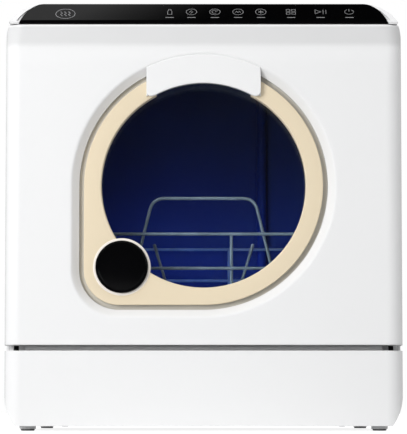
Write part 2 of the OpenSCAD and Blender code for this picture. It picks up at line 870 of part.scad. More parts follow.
module wash_pipe() {
    color(part_grey) {
        rod_y(spray_y + wash_volute_r, riser_y, wash_pipe_x, pump_z, pipe_r);
        translate([wash_pipe_x, riser_y, pump_z]) sphere(pipe_r, $fn = 48);
        rod_z(pump_z, tub_low - 2, wash_pipe_x, riser_y, pipe_r);
    }
}

module drain_pipe() {
    color(rubber_grey) rod_y(spray_y + drain_volute_r, rear_y - 12, drain_x, pump_z, pipe_r);
}

module tank_pipe() {
    color(rubber_grey) {
        rod_z(tank_pipe_z, plinth_top, 0, fill_y, pipe_r);
        translate([0, fill_y, tank_pipe_z]) sphere(pipe_r, $fn = 48);
        rod_y(spray_y + stub_end, fill_y, 0, tank_pipe_z, pipe_r);
    }
}

module chamber_light() {
    color([0.4, 0.6, 1]) between_z(tub_roof - 3, tub_roof)
        round_rect(-60, 60, -140, -124, 7.9);
}

module fan_housing() {
    color(part_grey) difference() {
        union() {
            block([fan_x - fan_half, tub_back_y + 10, fan_z - fan_half],
                  [fan_x + fan_half, rear_y, fan_z + fan_half]);
            rod_y(tub_back_y - tub_wall, tub_back_y + 11, fan_x, fan_z, 15);
        }
        rod_y(tub_back_y + 13, rear_y - 14, fan_x, fan_z, fan_bore);
        rod_y(tub_back_y - tub_wall - past, tub_back_y + 14, fan_x, fan_z, 12.5);
        rod_y(rear_y - 15, rear_y - 4, fan_x, fan_z, 2 + running);
        for (turn = [0:45:315])
            translate([fan_x + 29 * cos(turn), 0, fan_z + 29 * sin(turn)])
                rod_y(rear_y - 15, rear_y + past, 0, 0, 8);
    }
}

module fan_rotor() {
    front = tub_back_y + 16;
    back = rear_y - 17;
    color(black) {
        rod_y(back - 2, back, fan_x, fan_z, fan_bore - 4);
        rod_y(front + 4, back, fan_x, fan_z, 9);
        rod_y(back - 2, rear_y - 5, fan_x, fan_z, 2);
        for (turn = [0:30:330])
            translate([fan_x, 0, fan_z]) rotate([0, turn, 0])
                block([8, front, -0.8], [fan_bore - 5, back - 1, 0.8]);
    }
}

module inlet_valve() {
    color(white) difference() {
        union() {
            rod_y(rear_y - 8, body_d / 2, valve_x, pump_z, inlet_r);
            rod_y(rear_y, rear_y + 2, valve_x, pump_z, inlet_r + 4);
            block([valve_x - 16, fill_y - 14, pump_z - 15], [valve_x + 16, rear_y - 6, pump_z + 15]);
            rod_z(pump_z + 14, plinth_top, valve_x, fill_y, pipe_r);
        }
        rod_y(rear_y - 12, body_d / 2 + past, valve_x, pump_z, inlet_r - 4);
        rod_z(pump_z + 8, plinth_top + past, valve_x, fill_y, pipe_bore);
    }
}

module drain_spigot() {
    color(black) difference() {
        union() {
            rod_y(rear_y - 12, body_d / 2 - 1, drain_x, pump_z, drain_r);
            rod_y(rear_y, rear_y + 2, drain_x, pump_z, drain_r + 4);
        }
        rod_y(rear_y - 11, body_d / 2 + past, drain_x, pump_z, drain_r - 2.5);
    }
}

module cord_gland() {
    color(black) difference() {
        union() {
            rod_y(rear_y - 12, rear_y + 8, gland_x, pump_z, 8 - running);
            rod_y(rear_y, rear_y + 2, gland_x, pump_z, 11);
        }
        rod_y(rear_y - 12 - past, rear_y + 8 + past, gland_x, pump_z, 4);
    }
}

// A circle whose lower left quarter is squared off with a round corner, drawn in X and Z
module teardrop(r, corner) {
    translate([0, window_z]) {
        circle(r, $fn = 180);
        translate([-r, corner - r]) square([r, r - corner]);
        translate([corner - r, -r]) square([r - corner, r]);
        translate([corner - r, corner - r]) circle(corner, $fn = 64);
    }
}

// The flare: the teardrop narrowing from the door's face to the groove
module flare() {
    d = flare_d;
    translate([0, face_y, window_z]) rotate([-90, 0, 0]) {
        cylinder(r1 = flare_r, r2 = groove_r, h = d, $fn = 180);
        translate([-corner_at, corner_at, 0])
            cylinder(r1 = flare_corner_r, r2 = groove_corner_r, h = d, $fn = 64);
    }
    between_z(window_z - corner_at, window_z) polygon([
        [-flare_r, face_y], [-groove_r, face_y + d], [0, face_y + d], [0, face_y]]);
    between_x(-corner_at, 0) polygon([
        [face_y, window_z - flare_r], [face_y + d, window_z - groove_r],
        [face_y + d, window_z], [face_y, window_z]]);
}

// The part of the window's upper rim that the pull tab spans
module handle_zone(half) {
    translate([-half, window_z]) square([2 * half, flare_r + 20]);
}

clamp_bosses = [for (turn = [0, 55, 125, 180, 235, 305])
    [boss_ring_r * cos(turn), window_z + boss_ring_r * sin(turn)]];

module door_profile(inset) {
    polygon([
        [door_back_y - 5 - inset, door_low + inset], [face_y + 1.5 + inset, door_low + inset],
        [face_y + inset, door_low + 2.5 + inset], [face_y + inset, door_top - brow_h],
        [front_y + inset, door_top - 2.3], [front_y + 1.2 + inset, door_top - inset],
        [door_back_y, door_top - 1.3 - inset], [door_back_y, door_low + 8.5 + inset]]);
}

module door_form(inset) {
    intersection() {
        between_x(-body_w / 2, body_w / 2) door_profile(inset);
        between_y(front_y, door_back_y + past)
            top_round_outline(body_w / 2 - inset, door_low - past, body_h - inset, corner_r - inset);
        between_z(door_low - past, body_h)
            front_round_plan(body_w / 2 - inset, front_y + inset, door_back_y + 2 * past,
                             edge_r + brow_out - inset);
    }
}

module door_shell() {
    wedge = door_back_y - 7.5;
    liner_low = door_low + 8.8;
    color(white) difference() {
        union() {
            difference() {
                door_form(0);
                intersection() {
                    door_form(wall);
                    union() {
                        block([-body_w, front_y, liner_low], [body_w, door_back_y, body_h]);
                        block([-body_w, front_y, door_low], [body_w, wedge, body_h]);
                    }
                }
                between_y(liner_y - fit, door_back_y + past) intersection() {
                    top_round_outline(body_w / 2 - wall, door_low, body_h - wall, corner_r - wall);
                    translate([-body_w / 2, liner_low]) square([body_w, door_top - wall - 1.3 - liner_low]);
                }
            }
            between_y(face_y + past, groove_y + groove_floor_t)
                teardrop(flare_r + wall, flare_corner_r + wall);
            between_y(groove_y, seat_y) translate([0, window_z]) circle(seat_r + 4, $fn = 180);
            for (b = clamp_bosses) rod_y(groove_y + 1, clamp_y, b[0], b[1], 4);
        }
        flare();
        between_y(face_y + flare_d - 0.01, groove_y) teardrop(groove_r, groove_corner_r);
        between_y(groove_y - past, clamp_y + past) translate([0, window_z]) circle(seat_r, $fn = 180);
        between_y(groove_y - past, clamp_y) intersection() {
            teardrop(groove_r, groove_corner_r);
            handle_zone(tab_pocket_half + fit);
        }
        for (b = clamp_bosses) rod_y(groove_y + 4, clamp_y + past, b[0], b[1], 1.5);
        for (side = [-1, 1])
            translate([side * hinge_x, 0, 0])
                block([-arm_slot_w / 2, hinge_y - arm_half_h - 1, door_low - past],
                      [arm_slot_w / 2, door_back_y + past, liner_low + past]);
    }
}

module door_bezel() {
    color(cream) difference() {
        union() {
            between_y(badge_y + 1, groove_y) teardrop(bezel_r, bezel_corner_r);
            between_y(badge_y + 1, seat_y - fit) translate([0, window_z]) circle(window_r + 3, $fn = 180);
            translate([-badge_at, 0, -badge_at]) between_y(badge_y, groove_y)
                translate([0, window_z]) circle(badge_r + badge_ring, $fn = 96);
        }
        difference() {
            between_y(front_y, seat_y) translate([0, window_z]) circle(window_r, $fn = 180);
            translate([-badge_at, 0, -badge_at]) between_y(front_y, seat_y)
                translate([0, window_z]) circle(badge_r + badge_ring, $fn = 96);
        }
        between_y(front_y, seat_y) handle_zone(handle_gap_half);
    }
}

// The tab is flush with the door's face, and its outer edge follows the flare
module door_handle() {
    leg = 3;
    grip_r = window_r;
    corner = 6;
    color(white) {
        intersection() {
            translate([0, face_y, window_z]) rotate([-90, 0, 0])
                cylinder(r1 = flare_r - 0.1, r2 = flare_r - 0.1 - tab_t * flare_w / flare_d, h = tab_t,
                         $fn = 180);
            between_y(face_y, face_y + tab_t) difference() {
                handle_zone(tab_half);
                translate([0, window_z]) circle(grip_r, $fn = 180);
            }
            between_y(face_y, face_y + tab_t) round_rect(-tab_half, tab_half,
                window_z + sqrt(grip_r * grip_r - tab_half * tab_half) + 1, window_z + flare_r + 20, corner);
        }
        for (side = [-1, 1])
            between_y(face_y + tab_t, groove_y) intersection() {
                translate([side * (tab_half - leg / 2) - leg / 2, window_z]) square([leg, flare_r]);
                difference() {
                    translate([0, window_z]) circle(groove_r - fit, $fn = 180);
                    translate([0, window_z]) circle(grip_r + 4, $fn = 180);
                }
            }
    }
}

module handle_pocket() {
    t = 2;
    outer = groove_r - 0.2;
    color(white) {
        between_y(seat_y - t, seat_y) intersection() {
            difference() {
                translate([0, window_z]) circle(outer, $fn = 180);
                translate([0, window_z]) circle(seat_r, $fn = 180);
            }
            handle_zone(tab_pocket_half);
        }
        between_y(face_y + tab_t + fit, seat_y - t / 2) intersection() {
            difference() {
                translate([0, window_z]) circle(outer, $fn = 180);
                translate([0, window_z]) circle(outer - t, $fn = 180);
            }
            handle_zone(tab_pocket_half);
        }
        for (side = [-1, 1])
            between_y(face_y + tab_t + fit, seat_y - t / 2) intersection() {
                translate([side * (tab_pocket_half - t / 2) - t / 2, window_z]) square([t, flare_r]);
                difference() {
                    translate([0, window_z]) circle(outer - t / 2, $fn = 180);
                    translate([0, window_z]) circle(seat_r, $fn = 180);
                }
            }
    }
}

module badge() {
    color(black) translate([-badge_at, 0, window_z - badge_at]) {
        rod_y(badge_y - 2, badge_y, 0, 0, badge_r);
        rod_y(badge_y - 3, badge_y, 0, 0, badge_r - 1.5);
    }
}

// A flat ring in the window, between two depths
module window_ring(front, back, outer, inner) {
    between_y(front, back) translate([0, window_z]) difference() {
        circle(outer, $fn = 180);
        circle(inner, $fn = 180);
    }
}

module window_gasket() {
    color(rubber_grey) window_ring(seat_y, glass_y, seat_r + 8, seat_r);
}

module window_glass() {
    color([0.6, 0.7, 0.8, 0.4]) between_y(glass_y, clamp_y) translate([0, window_z])
        circle(glass_r, $fn = 180);
}

module glass_clamp() {
    color(part_grey) difference() {
        union() {
            window_ring(clamp_y, clamp_y + clamp_t, boss_ring_r - 5, seat_r - 1);
            for (b = clamp_bosses) rod_y(clamp_y, clamp_y + clamp_t, b[0], b[1], 5.5);
        }
        for (b = clamp_bosses) rod_y(clamp_y - past, clamp_y + clamp_t + past, b[0], b[1], screw_hole_r);
    }
}

module inner_glass() {
    color([0.6, 0.7, 0.8, 0.4]) between_y(liner_y - glass_t, liner_y)
        translate([0, window_z]) circle(inner_glass_r, $fn = 180);
}

module door_liner() {
    edge = wall + fit;
    low = door_low + 9.1;
    high = door_top - wall - 1.6;
    bulge = 7;
    lip = 7;
    color(white) difference() {
        union() {
            between_y(liner_y, door_back_y)
                intersection() {
                    top_round_outline(body_w / 2 - edge, low, body_h - edge, corner_r - edge);
                    translate([-body_w / 2, low]) square([body_w, high - low]);
                }
            between_y(door_back_y - past, door_back_y + bulge - past) difference() {
                round_rect(-mouth_half + lip, mouth_half - lip, mouth_low + lip, mouth_high - lip,
                           tub_r - lip);
                round_rect(-mouth_half + lip + 3, mouth_half - lip - 3,
                           mouth_low + lip + 3, mouth_high - lip - 3, tub_r - lip - 3);
            }
            window_ring(liner_y - 6, liner_y + past, inner_glass_r + 3, inner_glass_r + 0.5);
        }
        between_y(liner_y - past, door_back_y + past) translate([0, window_z])
            circle(window_r + 5, $fn = 180);
        for (side = [-1, 1])
            translate([side * hinge_x, 0, 0])
                block([-arm_slot_w / 2, liner_y - past, door_low],
                      [arm_slot_w / 2, door_back_y + past, hinge_z + arm_half_h + 2]);
        block([latch_x - striker_half - 0.1, liner_y - past, striker_low - 0.1],
              [latch_x + striker_half + 0.1, door_back_y + past, striker_high + 0.1]);
    }
}

module hinge_pins() {
    color(steel) for (side = [-1, 1])
        scale([side, 1, 1]) rod_x(cheek_in, cheek_out, hinge_y, hinge_z, pin_r);
}

// Two cheeks astride the arm, joined by a web above it that reaches the door's face and liner
module hinge_blocks() {
    web_low = hinge_z + 7.5;
    color(part_grey) for (side = [-1, 1]) scale([side, 1, 1]) difference() {
        union() {
            block([cheek_in, hinge_y - 5, hinge_z - 6], [hinge_x - 2.8, hinge_y + 6, web_low + 1]);
            block([hinge_x + 2.6, hinge_y - 5, hinge_z - 6], [cheek_out, hinge_y + 6, web_low + 1]);
            block([cheek_in, hinge_y - 5, web_low], [cheek_out, liner_y, web_low + 4.5]);
            block([cheek_in - 6, face_y + wall, web_low], [cheek_in + 2, liner_y, web_low + 4.5]);
        }
        rod_x(cheek_in - past, cheek_out + past, hinge_y, hinge_z, pin_r + running);
    }
}

module door_screws() {
    color(steel) for (b = clamp_bosses) {
        rod_y(clamp_y - 6, clamp_y + clamp_t + head_t, b[0], b[1], screw_r);
        rod_y(clamp_y + clamp_t, clamp_y + clamp_t + head_t, b[0], b[1], head_r - 0.5);
    }
}

// A closed loop of wire with bent corners, at one height
module wire_loop(half, front, back, z, bend) {
    for (side = [-1, 1])
        rod_y(front + bend, back - bend, side * half, z, wire_r);
    for (y = [front, back])
        rod_x(bend - half, half - bend, y, z, wire_r);
    corners = [[half, back, 0], [-half, back, 90], [-half, front, 180], [half, front, 270]];
    for (c = corners)
        translate([c[0] - sign(c[0]) * bend, c[1] + (c[1] == back ? -bend : bend), z])
            rotate([0, 0, c[2]]) rotate_extrude(angle = 90, $fn = 48) translate([bend, 0])
                circle(wire_r, $fn = 32);
}

// Crossing wires of one node sink into each other by the weld; separate nodes nearly touch
weld = 0.4;
touch = 0.05;
layer = 2 * wire_r - weld;
tine_row_low = rack_z + 2 * wire_r + touch;

module rack_floor() {
    step = rack_half / 7;
    color(wire_grey) {
        wire_loop(rack_half - 2 * wire_r, rack_front + 2 * wire_r, rack_back - 2 * wire_r,
                  rack_z, rack_bend);
        for (i = [-6:6])
            rod_y(rack_front + 2 * wire_r, rack_back - 2 * wire_r, i * step, rack_z + layer, wire_r);
        for (y = [rack_front + 60, (rack_front + rack_back) / 2, rack_back - 60])
            rod_x(-rack_half + 2 * wire_r, rack_half - 2 * wire_r, y, rack_z, wire_r);
    }
}

// Two rails above the floor, joined by uprights that stand inside them
module rack_sides() {
    inner = layer;
    low = rack_z + wire_r + touch;
    top = rack_z + rail_top;
    color(wire_grey) {
        wire_loop(rack_half, rack_front, rack_back, top, rack_bend);
        wire_loop(rack_half, rack_front, rack_back, rack_z + rail_mid, rack_bend);
        for (x = [-3.2, 1, 3.4] * rack_half / 5, y = [rack_front + inner, rack_back - inner])
            rod_z(low, top, x, y, wire_r);
        for (side = [-1, 1], y = [rack_front + 50, (rack_front + rack_back) / 2, rack_back - 50])
            rod_z(low, top, side * (rack_half - inner), y, wire_r);
    }
}

// Rows of tines that stand on the floor wires, the outer rows leaning outwards
module rack_tines() {
    low = tine_row_low;
    tine_r = wire_r - 0.2;
    color(wire_grey) {
        for (side = [-1, 1], row = [0, 1]) {
            x = side * rack_half * (row == 0 ? 0.24 : 0.62);
            rod_y(rack_front + 40, rack_back - 30, x, low, wire_r);
            for (i = [0:5]) {
                y = rack_front + 48 + i * 33;
                tall = row == 0 ? 60 : 92;
                wire([x, y, low], [x + side * tall * tan(tine_lean), y, low + tall], tine_r);
            }
        }
    }
}

// The raised hoop behind the front rail, with legs that splay out to the floor
module rack_hoop() {
    y = rack_front + 18;
    top = rack_z + hoop_up;
    low = tine_row_low + 2 * wire_r + touch;
    bend = 15;
    leg_x = hoop_half + bend + 22;
    color(wire_grey) {
        rod_x(-hoop_half, hoop_half, y, top, wire_r);
        for (side = [-1, 1]) scale([side, 1, 1]) {
            translate([hoop_half, y, top - bend]) rotate([90, 0, 0])
                rotate_extrude(angle = 90, $fn = 48) translate([bend, 0]) circle(wire_r, $fn = 32);
            translate([hoop_half + bend, y, top - bend]) sphere(wire_r, $fn = 32);
            wire([hoop_half + bend, y, top - bend], [leg_x, y, low], wire_r - 0.1);
        }
        rod_x(-leg_x - 4, leg_x + 4, y, low, wire_r);
    }
}

module rack_shoes() {
    color(part_grey) for (side = [-1, 1], y = [rack_front + 40, rack_back - 40])
        translate([side * (rack_half - 2 * wire_r), y, 0]) {
            rod_z(tub_floor + fit, rack_z - wire_r, 0, 0, 6);
        }
}

base_housing();
bottom_cover();
foot_pads();
outer_casing();
rear_cover();
case_screws();
front_frame();
console_housing();
control_glass();
touch_board();
main_board();
tub();
tub_gasket();
hinge_arm_left();
hinge_arm_right();
latch_housing();
water_tank();
fill_funnel();
sump();
filter_plate();
wash_pump_body();
drain_pump_body();
heater();
wash_pipe();
drain_pipe();
tank_pipe();
upper_spray_pipe();
chamber_light();
fan_housing();
inlet_valve();
drain_spigot();
cord_gland();
door_shell();
door_bezel();
door_handle();
handle_pocket();
badge();
window_gasket();
window_glass();
glass_clamp();
inner_glass();
door_liner();
hinge_pins();
hinge_blocks();
latch_striker();
door_screws();
rack_floor();
rack_sides();
rack_tines();
rack_hoop();
rack_shoes();
spray_arm();
upper_spray_arm();
filter_cup();
fill_cap();
wash_impeller();
drain_impeller();
fan_rotor();
latch_lever();
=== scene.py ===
# %% [markdown]
# # A countertop dishwasher with a round window
# The machine stands on four small feet and opens with a door that folds down. The shape of each part comes
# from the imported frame, in metres, with the front towards -Y. This lesson gives those parts their finish and
# builds the fine surfaces that catch the light: the door's recess, the surround, the pull tab, the touch
# strip, the glass, the wires and the lamp inside.

# %% Load the frame
import bpy
import numpy as np
import json
import math
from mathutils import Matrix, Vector


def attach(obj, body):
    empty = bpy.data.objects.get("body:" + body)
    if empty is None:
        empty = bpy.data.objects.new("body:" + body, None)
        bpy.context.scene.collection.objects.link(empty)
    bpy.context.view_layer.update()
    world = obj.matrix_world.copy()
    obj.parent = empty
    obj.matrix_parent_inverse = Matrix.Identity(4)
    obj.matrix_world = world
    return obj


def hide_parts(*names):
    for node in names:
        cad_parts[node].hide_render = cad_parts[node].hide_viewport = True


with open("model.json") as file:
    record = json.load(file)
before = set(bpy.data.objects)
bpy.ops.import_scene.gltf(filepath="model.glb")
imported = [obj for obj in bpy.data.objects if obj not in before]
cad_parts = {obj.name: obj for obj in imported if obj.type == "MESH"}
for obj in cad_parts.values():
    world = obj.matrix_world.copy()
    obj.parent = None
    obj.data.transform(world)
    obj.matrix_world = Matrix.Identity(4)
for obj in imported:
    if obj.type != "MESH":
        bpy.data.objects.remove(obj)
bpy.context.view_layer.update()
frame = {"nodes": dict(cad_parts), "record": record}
nodes = frame["nodes"]
for part in nodes.values():
    part.data.materials.clear()
for old in list(bpy.data.materials):
    bpy.data.materials.remove(old)
bpy.context.scene.view_settings.view_transform = "Standard"

# %% [markdown]
# ## Camera
# The picture was taken from straight ahead, a little above the floor, with a long lens. The lens is worked
# out from the scale: a metre at the door covers a known number of picture points. The camera has no shift; it
# tilts up slightly instead.

# %% Camera
DISTANCE = 2.6
EYE_HEIGHT = 0.025
TILT = math.radians(4.388)
POINTS_PER_RADIAN = 2476.0
PICTURE_HEIGHT = 434
SENSOR = 36
DOOR_FACE_Y = -0.212

camera = bpy.data.objects.new("camera", bpy.data.cameras.new("camera"))
bpy.context.scene.collection.objects.link(camera)
camera.location = (-0.0001, DOOR_FACE_Y - DISTANCE, EYE_HEIGHT)
camera.rotation_euler = (math.radians(90) + TILT, 0, 0)
camera.data.sensor_width = SENSOR
camera.data.lens = SENSOR * POINTS_PER_RADIAN / PICTURE_HEIGHT
camera.data.clip_start = 0.05
camera.data.clip_end = 100
bpy.context.scene.camera = camera
print("camera: lens %.0f mm, tilt %.2f degrees" % (camera.data.lens, math.degrees(TILT)))

# %% [markdown]
# ## Node helpers
# A finish is a small graph of shader nodes. These helpers place a node, join two nodes and set a value, so
# that each finish below reads like a recipe. A value that is the same all over is set on the shader itself.

# %% Node helpers
def add(tree, kind, **values):
    """One shader node. Values whose name is a socket set that socket, the others set the node's option."""
    made = tree.nodes.new(kind)
    for key, value in values.items():
        name = key.replace("_", " ")
        socket = next((s for s in made.inputs if s.name.lower() == name.lower()), None)
        if socket is not None:
            socket.default_value = value
        else:
            setattr(made, key, value)
    return made


def join(tree, start, end, out=0, into=0):
    """Joins an output to an input, each given by its number or its name."""
    tree.links.new(start.outputs[out], end.inputs[into])


def linear(*srgb):
    """The linear colour of a picture colour: below 0.04 a straight line, above it a power of 2.4."""
    c = np.array(srgb, float) / 255
    c = np.where(c <= 0.04045, c / 12.92, ((c + 0.055) / 1.055) ** 2.4)
    return tuple(float(v) for v in c) + (1.0,)


# %% [markdown]
# ## Studio
# White surroundings, brighter overhead, with a large soft lamp at the upper left and a weaker one at the right.
# What the camera sees behind the machine is white by the ray's kind, not by more light, and what the glossy
# parts mirror has a ramp of its own.

# %% World
ROOM_LOW, ROOM_HIGH = 0.03, 1.13
MIRRORED_FRONT, MIRRORED_BACK = 0.02, 0.4
world = bpy.data.worlds.new("studio")
bpy.context.scene.world = world
world.use_nodes = True
tree = world.node_tree
tree.nodes.clear()
room = add(tree, "ShaderNodeBackground", Color=(1, 1, 1, 1))
overhead = add(tree, "ShaderNodeMapRange", From_Min=0.15, From_Max=0.75, To_Min=ROOM_LOW, To_Max=ROOM_HIGH)
white = add(tree, "ShaderNodeBackground", Color=(1, 1, 1, 1), Strength=1.0)
shine = add(tree, "ShaderNodeBackground", Color=(1, 1, 1, 1))
way = add(tree, "ShaderNodeTexCoord")
apart = add(tree, "ShaderNodeSeparateXYZ")
behind = add(tree, "ShaderNodeMapRange", From_Min=-0.35, From_Max=0.25, To_Min=MIRRORED_FRONT, To_Max=MIRRORED_BACK)
steep = add(tree, "ShaderNodeMapRange", From_Min=0.62, From_Max=0.85, To_Min=1.0, To_Max=0.05)
both = add(tree, "ShaderNodeMath", operation="MULTIPLY")
join(tree, way, apart, "Generated")
join(tree, apart, overhead, "Z", "Value")
join(tree, overhead, room, "Result", "Strength")
join(tree, apart, behind, "Y", "Value")
join(tree, apart, steep, "Z", "Value")
join(tree, behind, both, "Result", 0)
join(tree, steep, both, "Result", 1)
join(tree, both, shine, 0, "Strength")

# %% World rays
path = add(tree, "ShaderNodeLightPath")
through = add(tree, "ShaderNodeMath", operation="MAXIMUM")
bounced = add(tree, "ShaderNodeMath", operation="ADD")
straight = add(tree, "ShaderNodeMath", operation="LESS_THAN")
straight.inputs[1].default_value = 0.5
seen = add(tree, "ShaderNodeMath", operation="MULTIPLY")
mirror = add(tree, "ShaderNodeMath", operation="GREATER_THAN")
mirror.inputs[1].default_value = 0.5
gloss = add(tree, "ShaderNodeMixShader")
pick = add(tree, "ShaderNodeMixShader")
end = add(tree, "ShaderNodeOutputWorld")
join(tree, path, through, "Is Camera Ray", 0)
join(tree, path, through, "Is Transmission Ray", 1)
join(tree, path, bounced, "Diffuse Depth", 0)
join(tree, path, bounced, "Glossy Depth", 1)
join(tree, bounced, straight, 0, 0)
join(tree, through, seen, 0, 0)
join(tree, straight, seen, 0, 1)
join(tree, path, mirror, "Glossy Depth", 0)
join(tree, mirror, gloss, 0, 0)
join(tree, room, gloss, 0, 1)
join(tree, shine, gloss, 0, 2)
join(tree, seen, pick, 0, 0)
join(tree, gloss, pick, 0, 1)
join(tree, white, pick, 0, 2)
join(tree, pick, end)
print("world: room strength", ROOM_LOW, "to", ROOM_HIGH)


# %% Lamps
def soft_lamp(name, place, aim, size, power, color=(1, 1, 1)):
    """A square lamp at a place, turned so that its face points at the aim."""
    data = bpy.data.lights.new(name, "AREA")
    data.shape = "SQUARE"
    data.size = size
    data.energy = power
    data.color = color
    lamp = bpy.data.objects.new(name, data)
    bpy.context.scene.collection.objects.link(lamp)
    lamp.location = place
    lamp.rotation_mode = "QUATERNION"
    lamp.rotation_quaternion = (Vector(aim) - Vector(place)).to_track_quat("-Z", "Y")
    lamp.visible_glossy = lamp.visible_camera = False
    return lamp


BODY_MIDDLE = (0, -0.1, 0.22)
LAMPS = {
    "key_lamp": ((-1.6, -2.3, 0.7), 1.2, 47),
    "side_lamp": ((2.6, -0.6, 0.8), 1.4, 9.5),
}
for name, (place, size, power) in LAMPS.items():
    soft_lamp(name, place, BODY_MIDDLE, size, power)
print("lamps:", list(LAMPS))


# %% Surface helpers
def surface(name, points, faces, body, material=None, smooth=True, merge=0.0):
    """A mesh piece from an array of points (n, 3) and an array of faces, that rides on a body."""
    mesh = bpy.data.meshes.new(name)
    mesh.from_pydata(np.asarray(points, float).reshape(-1, 3).tolist(), [], [list(map(int, f)) for f in faces])
    mesh.validate()
    mesh.polygons.foreach_set("use_smooth", np.full(len(mesh.polygons), smooth))
    piece = bpy.data.objects.new(name, mesh)
    bpy.context.scene.collection.objects.link(piece)
    if merge:
        weld = piece.modifiers.new("weld", "WELD")
        weld.merge_threshold = merge
    if material is not None:
        mesh.materials.append(material)
    if body is None:
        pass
    else:
        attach(piece, body)
    return piece


def grid_faces(rows, cols, wrap_rows=False, wrap_cols=False, flip=False):
    """The four-sided faces of a grid whose point (i, j) has the number i * cols + j."""
    i = np.arange(rows if wrap_rows else rows - 1)
    j = np.arange(cols if wrap_cols else cols - 1)
    i, j = [a.ravel() for a in np.meshgrid(i, j, indexing="ij")]
    k, m = (i + 1) % rows, (j + 1) % cols
    quads = np.stack([i * cols + j, i * cols + m, k * cols + m, k * cols + j], 1)
    return quads[:, ::-1] if flip else quads


def split_edges(piece, degrees):
    """Keeps the edges sharper than this angle crisp in the smooth shading."""
    split = piece.modifiers.new("split", "EDGE_SPLIT")
    split.split_angle = math.radians(degrees)


# %% [markdown]
# ## Floor and card
# The floor is pale paper. Near the machine it is lit from below, so that the feet don't sink into the dark, and
# for the camera alone it glows almost white. A card over the machine gives the touch strip its sheen.

# %% Floor
FLOOR_HALF = 6.0
LIT_INSIDE, LIT_OUTSIDE, TABLE_POWER = 0.24, 0.35, 0.27
floor_material = bpy.data.materials.new("floor_paper")
floor_material.use_nodes = True
tree = floor_material.node_tree
tree.nodes.clear()
paper = add(tree, "ShaderNodeBsdfDiffuse", Color=(0.5, 0.5, 0.5, 1))
glow = add(tree, "ShaderNodeEmission", Color=(1, 1, 1, 1), Strength=0.8)
backlight = add(tree, "ShaderNodeEmission", Color=(1, 1, 1, 1))
where = add(tree, "ShaderNodeTexCoord")
from_middle = add(tree, "ShaderNodeVectorMath", operation="LENGTH")
lit = add(tree, "ShaderNodeMapRange", From_Min=LIT_INSIDE, From_Max=LIT_OUTSIDE, To_Min=TABLE_POWER, To_Max=0.0)
both = add(tree, "ShaderNodeAddShader")
table = add(tree, "ShaderNodeAddShader")
path = add(tree, "ShaderNodeLightPath")
choose = add(tree, "ShaderNodeMixShader")
end = add(tree, "ShaderNodeOutputMaterial")
join(tree, where, from_middle, "Object", 0)
join(tree, from_middle, lit, "Value", "Value")
join(tree, lit, backlight, "Result", "Strength")
join(tree, paper, table, 0, 0)
join(tree, backlight, table, 0, 1)
join(tree, paper, both, 0, 0)
join(tree, glow, both, 0, 1)
join(tree, path, choose, "Is Camera Ray", 0)
join(tree, table, choose, 0, 1)
join(tree, both, choose, 0, 2)
join(tree, choose, end)
corners = [(x * FLOOR_HALF, y * FLOOR_HALF, 0) for x, y in ((-1, -1), (1, -1), (1, 1), (-1, 1))]
surface("floor", corners, [(0, 1, 2, 3)], None, floor_material, smooth=False)
print("floor:", FLOOR_HALF * 2, "metres square")

# %% Reflection card
CARD_Z = 1.9
CARD_POWER = 0.56
CARD_LEAN = math.radians(-25)
CARD_FROM, CARD_TO, CARD_CURVE = 0.182, 0.275, 1.7
card_material = bpy.data.materials.new("card_light")
card_material.use_nodes = True
tree = card_material.node_tree
tree.nodes.clear()
where = add(tree, "ShaderNodeTexCoord")
lean = add(tree, "ShaderNodeMapping", Rotation=(0, 0, CARD_LEAN))
apart = add(tree, "ShaderNodeSeparateXYZ")
fade = add(tree, "ShaderNodeMapRange", From_Min=CARD_FROM, From_Max=CARD_TO, To_Min=0.0, To_Max=1.0)
soften = add(tree, "ShaderNodeMath", operation="POWER")
soften.inputs[1].default_value = CARD_CURVE
bright = add(tree, "ShaderNodeMath", operation="MULTIPLY")
bright.inputs[1].default_value = CARD_POWER
glow = add(tree, "ShaderNodeEmission", Color=(1, 1, 1, 1))
end = add(tree, "ShaderNodeOutputMaterial")
join(tree, where, lean, "Object")
join(tree, lean, apart)
join(tree, apart, fade, "Y", "Value")
join(tree, fade, soften, "Result", 0)
join(tree, soften, bright)
join(tree, bright, glow, 0, "Strength")
join(tree, glow, end)
corners = [(-2.4, -0.3, CARD_Z), (-2.4, 2.4, CARD_Z), (0.6, 2.4, CARD_Z), (0.6, -0.3, CARD_Z)]
card = surface("reflection_card", corners, [(0, 1, 2, 3)], None, card_material, smooth=False)
card.visible_camera = card.visible_diffuse = card.visible_transmission = card.visible_shadow = False
print("card: only reflections see it")

# %% [markdown]
# ## Moulded plastic
# Most of the machine is moulded plastic. Real mouldings are never quite even: the colour drifts a little, the
# gloss changes from patch to patch, and a fine spark texture from the mould breaks up the reflections. Corners
# are slightly round, which the Bevel node gives without any change to the shape.

# %% Plastic recipe
WEAR = 0.04


